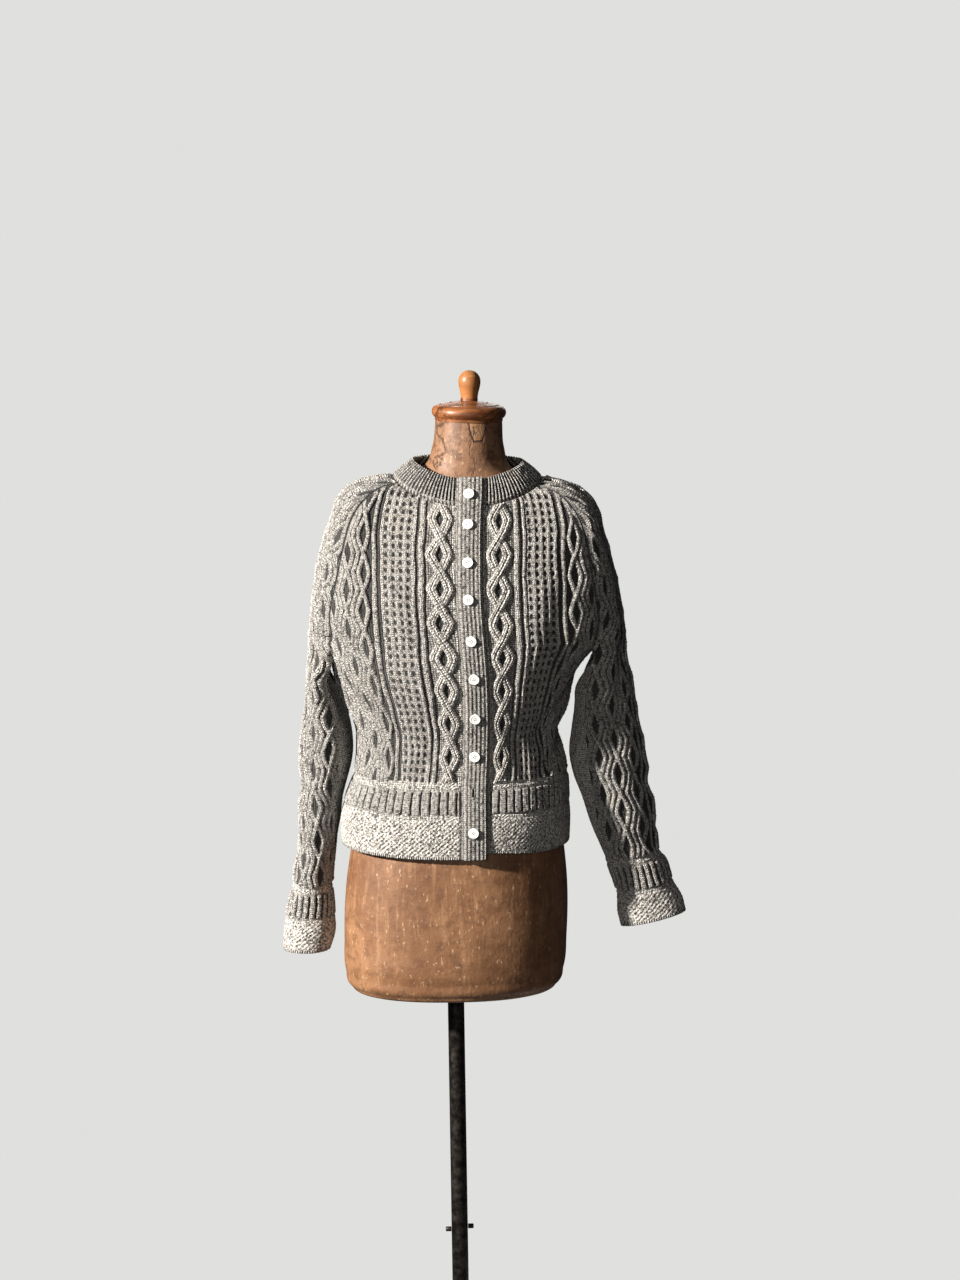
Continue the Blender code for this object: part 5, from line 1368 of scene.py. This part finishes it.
# closed wall of a piece, with what the knit trees need stored on its points
def buildWall(cloth, edgeHeight):
    away, facing, plain = nearestSeam(cloth)
    sunk = plain > wool["seamWide"]
    groove = wool["grooveDeep"] * (1 - softStep(away / wool["grooveWide"])) * sunk
    cloth.normals = unit(mix(facing, cloth.normals, softStep(away / wool["seamTurn"])[:, None]))
    # raising drops below 0 along sunk seams, where the wool material paints shade
    raising = softStep((away - plain * 0.35) / (plain * 0.65)) - sunk * (1 - softStep(away / wool["shadeWide"]))
    fold = foldDepth(cloth.chart[:, 0], cloth.points[:, 2], cloth.folds) * softStep(away / wool["foldFade"])
    base = cloth.points + cloth.offset + cloth.normals * (cloth.lift + fold - groove)[:, None]
    outer = lean(base)
    outward = (lean(base + cloth.normals * 0.001) - outer) / 0.001
    rings = cloth.quadsOf(wool["innerStep"])
    step = wool["innerStep"]
    corners = rings[:, ::step]
    used = np.unique(corners)
    number = np.full(len(outer), -1)
    number[used] = np.arange(len(used)) + len(outer)
    inner = lean((base - cloth.normals * wool["wall"])[used])
    faces = cloth.quadsOf(1).tolist() + number[corners[:, ::-1]].tolist()
    known = set()
    for k in range(4):
        known.update(zip(corners[:, k].tolist(), corners[:, (k + 1) % 4].tolist()))
    for k in range(4):
        path = np.concatenate([rings, rings[:, :1]], axis=1)[:, k * step:(k + 1) * step + 1].tolist()
        for way in path:
            if (way[-1], way[0]) not in known:
                faces.append(way[::-1] + [int(number[way[0]]), int(number[way[-1]])])
    item = addMesh(cloth.name + "_knit", np.vstack([outer, inner]), faces)
    many = len(used)
    chart = np.zeros((len(outer) + many, 3))
    chart[:len(outer), 0] = cloth.chart[:, 0]
    chart[:len(outer), 1] = cloth.chart[:, 1] - edgeHeight
    chart[:len(outer), 2] = raising
    chart[len(outer):, :2] = chart[used, :2]
    out = np.vstack([outward, np.zeros((many, 3))])
    storeVectors(item.data, "chart", chart)
    storeVectors(item.data, "outward", out)
    return item


frontSeams = {side: raglan(side, "front") for side in (-1, 1)}
backSeams = {side: raglan(side, "back") for side in (-1, 1)}
frontLines = bodyRows("front", frontSeams[-1], frontSeams[1])
backLines = bodyRows("back", backSeams[-1], backSeams[1])
frontRight = makeFront("front_right", -1, frontLines, lambda z: uprightButtonX(z) - cardigan["bandHalf"])
frontLeft = makeFront("front_left", 1, frontLines, lambda z: uprightButtonX(z) + cardigan["underBandOuter"])
back = makeBack(backLines)
sleeves = {}
for side, name, front, arc in ((-1, "sleeve_right", frontRight, "arc_left"),
                               (1, "sleeve_left", frontLeft, "arc_right")):
    sleeves[side] = makeSleeve(name, side, frontSeams[side], backSeams[side],
                               front.points[front.edges["arc"]], back.points[back.edges[arc]])
neckband = makeNeckband(frontRight, sleeves[-1], back, sleeves[1], frontLeft)
topBand = makeBand("buttonhole_band", frontLines,
                   np.linspace(-cardigan["bandHalf"], cardigan["bandHalf"], grid["topBand"] + 1),
                   lambda w: cardigan["bandLift"] * softStep((w + cardigan["bandHalf"]) / cardigan["bandTurn"]))
underBand = makeBand("button_band", frontLines,
                     np.linspace(cardigan["underBandInner"], cardigan["underBandOuter"], grid["underBand"] + 1),
                     lambda w: np.zeros_like(w))
clothes = [frontRight, frontLeft, back, sleeves[-1], sleeves[1], neckband, topBand, underBand]
for piece in clothes:
    if piece.name in ("front_right", "front_left", "back", "buttonhole_band", "button_band"):
        hangHem(piece.points, piece.name in ("front_left", "button_band"))
    piece.findNormals()
print("rows laid out")


def seam(first, edge, second, other, stretches, plain, fold=0.0):
    return {"first": (first, first.edges[edge]), "second": (second, second.edges[other]),
            "stretches": stretches, "fold": fold, "plain": plain}


sew([
    seam(frontRight, "side", back, "side_left", 54, 0.005),
    seam(frontLeft, "side", back, "side_right", 54, 0.005),
    seam(frontRight, "arc", sleeves[-1], "arc_front", 16, 0.006, fold=1.0),
    seam(frontLeft, "arc", sleeves[1], "arc_front", 16, 0.006, fold=1.0),
    seam(back, "arc_left", sleeves[-1], "arc_back", 16, 0.006, fold=1.0),
    seam(back, "arc_right", sleeves[1], "arc_back", 16, 0.006, fold=1.0),
    seam(frontRight, "raglan", sleeves[-1], "raglan_front", 64, 0.012),
    seam(frontLeft, "raglan", sleeves[1], "raglan_front", 64, 0.012),
    seam(back, "raglan_left", sleeves[-1], "raglan_back", 64, 0.012),
    seam(back, "raglan_right", sleeves[1], "raglan_back", 64, 0.012),
    seam(frontRight, "neck", neckband, "front_right", 34, 0.004),
    seam(sleeves[-1], "neck", neckband, "sleeve_right", 31, 0.004),
    seam(back, "neck", neckband, "back", 46, 0.004),
    seam(sleeves[1], "neck_reversed", neckband, "sleeve_left", 31, 0.004),
    seam(frontLeft, "neck_reversed", neckband, "front_left", 34, 0.004),
    seam(frontRight, "band", topBand, "left_low", 97, 0.003),
    seam(frontLeft, "band", underBand, "right_low", 97, 0.003),
    seam(neckband, "start", topBand, "left_high", 7, 0.003),
    seam(neckband, "end", underBand, "right_high", 7, 0.003),
])

trees = {"body": bodyTree(), "sleeve": sleeveTree(), "neck": ribTree("neckbandKnit", neckKnit),
         "band": ribTree("bandKnit", bandKnit)}

# tree, height where the chart starts, the tree's own sizes, flat width and length, flat area
sheets = {
    "front_right": ("body", cardigan["hem"], {}, (0.27, 0.50), 0.105),
    "front_left": ("body", cardigan["hem"], {"Chart shift": -0.0035}, (0.27, 0.50), 0.105),
    "back": ("body", cardigan["hem"], {"Chart shift": cardigan["bandHalf"]}, (0.52, 0.52), 0.20),
    "sleeve_right": ("sleeve", 0.0, {}, (0.40, 0.68), 0.18),
    "sleeve_left": ("sleeve", 0.0, {}, (0.40, 0.68), 0.18),
    "neckband": ("neck", 0.0, {}, (0.56, 0.042), 0.023),
    "buttonhole_band": ("band", cardigan["hem"], {"Slit height": slit["place"] - cardigan["hem"]}, (0.035, 0.56),
                        0.019),
    "button_band": ("band", cardigan["hem"], {}, (0.033, 0.56), 0.018),
}
for piece in clothes:
    tree, edgeHeight, sizes, flat, area = sheets[piece.name]
    item = buildWall(piece, edgeHeight)
    runTree(item, trees[tree], finishes["wool"], sizes)
    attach(item, "root")
    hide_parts(piece.name)
    print(piece.name, len(item.data.polygons), "faces")


# profile points are radius and height, from the top middle outwards and down
def turnedMesh(profile, around):
    points, faces = [], []
    for radius, height in profile:
        for k in range(around):
            angle = 2 * math.pi * k / around
            points.append((radius * math.cos(angle), radius * math.sin(angle), height))
    for row in range(len(profile) - 1):
        for k in range(around):
            a, b = row * around + k, row * around + (k + 1) % around
            faces.append((a, a + around, b + around, b))
    faces.append(tuple(range(around)))
    faces.append(tuple(reversed(range((len(profile) - 1) * around, len(profile) * around))))
    return np.array(points), faces


# a turned piece on its own axis, tipped to the right by a turn, at its place
def addTurned(name, profile, around, finish, place=(0, 0, 0), turn=0.0, axis=None):
    points, faces = turnedMesh(profile, around)
    if axis is not None:
        points = points @ np.array(Vector(axis).to_track_quat("Z", "Y").to_matrix()).T
    c, s = math.cos(turn), math.sin(turn)
    x, y, z = points.T
    item = addMesh(name, np.stack([x * c + z * s, y, z * c - x * s], axis=1) + np.array(place), faces, finish)
    item.data.set_sharp_from_angle(angle=math.radians(40))
    return item


def placeRigid(item, slot, *nodes):
    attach(item, "root")
    if nodes:
        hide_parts(*nodes)


# the form turns from an oval to a round neck near roundAt; bands are stretches of rows from low to high
form = {"shift": -0.002, "neckTop": 1.476, "power": 2.3, "roundAt": 1.405, "roundHalf": 0.012, "around": 112,
        "bands": ((0.680, 0.712, 18), (0.712, 1.362, 150), (1.362, 1.476, 34))}

# form: height, half-width, front depth, back depth
formSections = (
    (0.680, 0.112, 0.072, 0.070),
    (0.683, 0.130, 0.090, 0.087),
    (0.692, 0.145, 0.103, 0.099),
    (0.712, 0.152, 0.109, 0.105),
    (0.760, 0.155, 0.111, 0.107),
    (0.830, 0.154, 0.110, 0.106),
    (0.890, 0.147, 0.107, 0.101),
    (0.940, 0.139, 0.101, 0.094),
    (0.990, 0.128, 0.094, 0.086),
    (1.045, 0.120, 0.090, 0.081),
    (1.100, 0.123, 0.095, 0.083),
    (1.160, 0.133, 0.106, 0.090),
    (1.220, 0.141, 0.111, 0.096),
    (1.280, 0.146, 0.104, 0.100),
    (1.330, 0.146, 0.088, 0.091),
    (1.362, 0.139, 0.073, 0.074),
    (1.381, 0.122, 0.062, 0.061),
    (1.391, 0.102, 0.055, 0.054),
    (1.399, 0.080, 0.051, 0.050),
    (1.413, 0.060, 0.049, 0.048),
    (1.440, 0.049, 0.048, 0.048),
    (1.476, 0.0455, 0.0455, 0.0455),
)


def formShell():
    at = byHeight(formSections)
    heights = np.concatenate([np.linspace(low, high, count)[:-1] for low, high, count in form["bands"]]
                             + [[form["neckTop"]]])
    angle = np.linspace(0.0, 2 * math.pi, form["around"] + 1)[:-1]
    rows = []
    for z in heights:
        halfWidth, front, behind = at(z)
        roundness = softStep((z - form["roundAt"] + form["roundHalf"]) / (2 * form["roundHalf"]))
        power = mix(2 / form["power"], 1.0, roundness)
        x = np.sign(np.cos(angle)) * np.abs(np.cos(angle)) ** power * halfWidth
        deep = np.sign(np.sin(angle)) * np.abs(np.sin(angle)) ** power
        shift = form["shift"] * (1 - roundness)
        y = np.where(deep > 0, deep * behind, deep * front)
        rows.append(lean(np.stack([x + shift, y, np.full_like(x, z)], axis=1)))
    count = form["around"]
    faces = []
    for row in range(len(rows) - 1):
        for k in range(count):
            a, b = row * count + k, row * count + (k + 1) % count
            faces.append((a, b, b + count, a + count))
    faces.append(tuple(reversed(range(count))))
    faces.append(tuple(range((len(rows) - 1) * count, len(rows) * count)))
    item = addMesh("form_torso_shell", np.vstack(rows), faces, "papier")
    item.data.set_sharp_from_angle(angle=math.radians(50))
    return item


placeRigid(formShell(), "papier", "form_torso")

# cap and knob stand on the neck, tipped as the shoulders are; the cap lies a hair above the neck
turned = {"capGap": 0.0003, "knobRise": 0.0268, "capAround": 96, "knobAround": 56, "poleAround": 64,
          "baseAround": 128, "screwAround": 24, "screwOut": 0.0118, "screwHeights": ((-1, 0.329), (1, 0.333))}
neckPlace = lean(np.array([0.0, 0.0, form["neckTop"]])) + np.array([0.0, 0.0, turned["capGap"]])
tip = math.atan(stance["tilt"])
capProfile = [
    (0.0005, 0.0265), (0.0120, 0.0265), (0.0150, 0.0260), (0.0200, 0.0251), (0.0246, 0.0243), (0.0252, 0.0229),
    (0.0260, 0.0229), (0.0266, 0.0240), (0.0320, 0.0231), (0.0386, 0.0216), (0.0393, 0.0198), (0.0402, 0.0198),
    (0.0409, 0.0208), (0.0440, 0.0202), (0.0470, 0.0188), (0.0492, 0.0168), (0.0504, 0.0142), (0.0508, 0.0115),
    (0.0504, 0.0088), (0.0494, 0.0064), (0.0480, 0.0048), (0.0466, 0.0040), (0.0464, 0.0030), (0.0464, 0.0),
]
placeRigid(addTurned("neck_cap", capProfile, turned["capAround"], "wood", neckPlace, tip), "wood", "form_cap")
knobPlace = neckPlace + np.array([math.sin(tip), 0.0, math.cos(tip)]) * turned["knobRise"]
knobProfile = [
    (0.0004, 0.0412), (0.0032, 0.0409), (0.0062, 0.0400), (0.0092, 0.0383), (0.0117, 0.0358), (0.0137, 0.0325),
    (0.0148, 0.0290), (0.0151, 0.0255), (0.0148, 0.0218), (0.0141, 0.0178), (0.0131, 0.0138), (0.0122, 0.0098),
    (0.0117, 0.0058), (0.0116, 0.0026), (0.0119, 0.0),
]
placeRigid(addTurned("neck_knob", knobProfile, turned["knobAround"], "wood", knobPlace, tip), "wood", "form_knob")
poleProfile = [
    (0.0005, 0.6797), (0.0105, 0.6797), (0.0115, 0.6787), (0.0115, 0.0153), (0.0105, 0.0143), (0.0005, 0.0143),
]
placeRigid(addTurned("stand_pole", poleProfile, turned["poleAround"], "steel"), "steel", "pole")
baseProfile = [
    (0.0118, 0.0140), (0.0118, 0.0540), (0.0128, 0.0550), (0.0190, 0.0550), (0.0204, 0.0544), (0.0210, 0.0530),
    (0.0210, 0.0200), (0.0225, 0.0182), (0.0300, 0.0172), (0.1640, 0.0140), (0.1670, 0.0134), (0.1692, 0.0118),
    (0.1700, 0.0090), (0.1700, 0.0010), (0.1690, 0.0),
]
placeRigid(addTurned("stand_base", baseProfile, turned["baseAround"], "iron"), "iron", "base")
screwProfile = [
    (0.0012, 0.0066), (0.0013, 0.0080), (0.0027, 0.0080), (0.0035, 0.0070), (0.0035, 0.0),
]
for k, (side, height) in enumerate(turned["screwHeights"]):
    screw = addTurned("stand_screw_%d" % (k + 1), screwProfile, turned["screwAround"], "steel",
                      (side * turned["screwOut"], 0.0, height), axis=(side, 0.0, 0.0))
    placeRigid(screw, "steel", "set_screw_%d" % (k + 1))
print("form and stand made")


# one button, its four holes, and where and how far turned each one sits on the band
button = {
    "radius": 0.0072, "around": 36, "holeRadius": 0.0009, "holeOut": 0.0017, "holeAround": 12, "above": 0.0020,
    "heights": (1.385, 1.346, 1.296, 1.247, 1.191, 1.139, 1.083, 1.030, 0.927),
    "turns": (0.1, -0.3, 0.4, 0.0, 0.7, -0.15, 0.25, -0.5, 0.55),
}


# points of a circle in a plane at a height
def circle(data, x, y, z, radius, around):
    return [data.verts.new((x + radius * math.cos(2 * math.pi * k / around),
                            y + radius * math.sin(2 * math.pi * k / around), z)) for k in range(around)]


def buttonMesh():
    r = button["radius"]
    profile = [(r * 0.62, 0.0025), (r * 0.70, 0.00255), (r * 0.80, 0.0028), (r * 0.90, 0.0029), (r * 0.97, 0.0025),
               (r, 0.0018), (r * 0.97, 0.0009), (r * 0.86, 0.0)]
    around = button["around"]
    data = bmesh.new()
    rows = [circle(data, 0.0, 0.0, z, radius, around) for radius, z in profile]
    for low, high in zip(rows, rows[1:]):
        for k in range(around):
            data.faces.new((low[k], high[k], high[(k + 1) % around], low[(k + 1) % around]))
    corners = [math.pi / 4 + turn * math.pi / 2 for turn in range(4)]
    out, count = button["holeOut"], button["holeAround"]
    holes = [[circle(data, out * math.cos(turn), out * math.sin(turn), z, button["holeRadius"], count)
              for turn in corners] for z in (profile[0][1], profile[-1][1])]
    for upper, lower in zip(*holes):
        for k in range(count):
            data.faces.new((upper[k], upper[(k + 1) % count], lower[(k + 1) % count], lower[k]))
    for ring, level in ((rows[0], holes[0]), (rows[-1], holes[1])):
        edges = []
        for loop in [ring, *level]:
            for k in range(len(loop)):
                edge = data.edges.get((loop[k], loop[(k + 1) % len(loop)]))
                edges.append(edge or data.edges.new((loop[k], loop[(k + 1) % len(loop)])))
        bmesh.ops.triangle_fill(data, edges=edges, use_beauty=True)
    bmesh.ops.recalc_face_normals(data, faces=data.faces)
    mesh = bpy.data.meshes.new("button")
    data.to_mesh(mesh)
    data.free()
    mesh.shade_smooth()
    mesh.set_sharp_from_angle(angle=math.radians(38))
    return mesh


# copies of a small object on points that carry their own facing and turn
def studTree(name, stud):
    graph, sockets = startTree(name, {"Size": 1.0})
    source = graph.add("GeometryNodeObjectInfo", None, {"Object": stud}, "Geometry")
    facing = graph.add("FunctionNodeAlignRotationToVector", {"axis": "Z"},
                       {"Vector": readAttribute(graph, "facing")})
    turned = graph.add("FunctionNodeAlignRotationToVector", {"axis": "X", "pivot_axis": "Z"},
                       {"Rotation": facing, "Vector": readAttribute(graph, "ahead")})
    placed = graph.add("GeometryNodeInstanceOnPoints", None,
                       {"Points": sockets["Geometry"], "Instance": source, "Rotation": turned,
                        "Scale": graph.join(sockets["Size"], sockets["Size"], sockets["Size"])})
    return endTree(graph, sockets, placed)


middle = topBand.edges["middle"]
bandPlaces = lean(topBand.points[middle] + topBand.normals[middle] * (cardigan["bandLift"] + button["above"]))
bandFacing = topBand.normals[middle]
order = np.argsort(bandPlaces[:, 2])


# what a value along the band's middle is at a height
def onBand(values, height):
    return np.array([np.interp(height, bandPlaces[order, 2], values[order, k]) for k in range(3)])


stud = addItem("buttonStud", buttonMesh())
buttons = addMesh("shell_buttons", [onBand(bandPlaces, height) for height in button["heights"]], [])
storeVectors(buttons.data, "facing", [unit(onBand(bandFacing, height)) for height in button["heights"]])
storeVectors(buttons.data, "ahead", [(math.cos(turn), 0.0, math.sin(turn)) for turn in button["turns"]])
runTree(buttons, studTree("buttonRow", stud), finishes["shell"])
bpy.data.objects.remove(stud, do_unlink=True)
placeRigid(buttons, "shell", *["button_%d" % (k + 1) for k in range(len(button["heights"]))])
print("buttons made")

# colours of the floor, of what the camera sees behind, and of the light that comes from all round; the floor's glow
# is painted light
studio = {"floor": (0.62, 0.615, 0.60, 1), "radius": 0.62, "around": 96, "glow": 0.42,
          "wall": (0.745, 0.75, 0.73, 1), "ambient": (0.030, 0.031, 0.034, 1)}


# the floor glows as painted light, standing in for the lamps' light on it and lighting the figure a little from below
def paleFloor():
    turns = [2 * math.pi * k / studio["around"] for k in range(studio["around"])]
    verts = [(studio["radius"] * math.cos(turn), studio["radius"] * math.sin(turn), 0.0) for turn in turns]
    item = addMesh("studio_floor", verts, [tuple(range(studio["around"]))])
    item.data.materials.append(startMaterial("paleFloor", Roughness=0.9, Base_Color=studio["floor"],
                                             Emission_Color=studio["floor"], Emission_Strength=studio["glow"])[0])


# the camera sees a pale wall, and the figure gets only a little light from it
def paleWorld():
    world = bpy.data.worlds.new("studio")
    world.use_nodes = True
    graph = Graph(world.node_tree)
    seen = graph.add("ShaderNodeLightPath", None, None, "Is Camera Ray")
    colour = graph.blend(seen, studio["ambient"], studio["wall"])
    graph.tree.links.new(colour.socket, world.node_tree.nodes["Background"].inputs["Color"])
    bpy.context.scene.world = world


# a round soft lamp, or with a cone a spot that only takes in the figure
def addLamp(name, place, aim, power, size, colour, cone=None):
    lamp = bpy.data.lights.new(name, "SPOT" if cone else "AREA")
    lamp.energy, lamp.color = power, colour
    if cone:
        lamp.shadow_soft_size, lamp.spot_size, lamp.spot_blend = size, math.radians(cone), 0.4
    else:
        lamp.shape, lamp.size = "DISK", size
    item = addItem(name, lamp)
    item.location = place
    item.rotation_euler = (Vector(aim) - Vector(place)).to_track_quat("-Z", "Y").to_euler()


paleFloor()
paleWorld()
addLamp("keyLight", (-3.62, -2.11, 2.93), (0.03, 0.0, 1.07), 2650, 0.10, (1.0, 0.95, 0.885), cone=20)
addLamp("fillLight", (-0.6, -4.0, 1.9), (0.03, 0.0, 1.10), 30, 1.4, (1.0, 0.97, 0.93))
addLamp("topLight", (0.3, 0.8, 3.4), (0.03, 0.0, 1.2), 3, 2.0, (1.0, 1.0, 1.0))
addLamp("backLight", (0.3, 3.4, 2.1), (0.03, 0.0, 1.1), 22, 1.8, (1.0, 0.98, 0.95))

# where the camera looks, how far away it stands, its angles in degrees, its lens and film in millimetres
view = {"aim": (0.0413, -0.090, 1.1866), "away": 4.6, "elevation": 9.0, "roll": -0.87, "lens": 95.8, "film": 36.0}
elevation = math.radians(view["elevation"])
direction = Vector((0.0, -math.cos(elevation), math.sin(elevation)))
camera = addItem("camera", bpy.data.cameras.new("camera"))
camera.location = Vector(view["aim"]) + direction * view["away"]
camera.rotation_mode = "QUATERNION"
camera.rotation_quaternion = direction.to_track_quat("Z", "Y") @ Quaternion((0, 0, 1), math.radians(view["roll"]))
camera.data.lens, camera.data.sensor_width = view["lens"], view["film"]
bpy.context.scene.camera = camera
bpy.context.scene.view_settings.view_transform = "Standard"
print("floor, lamps and camera set")

bpy.context.view_layer.update()
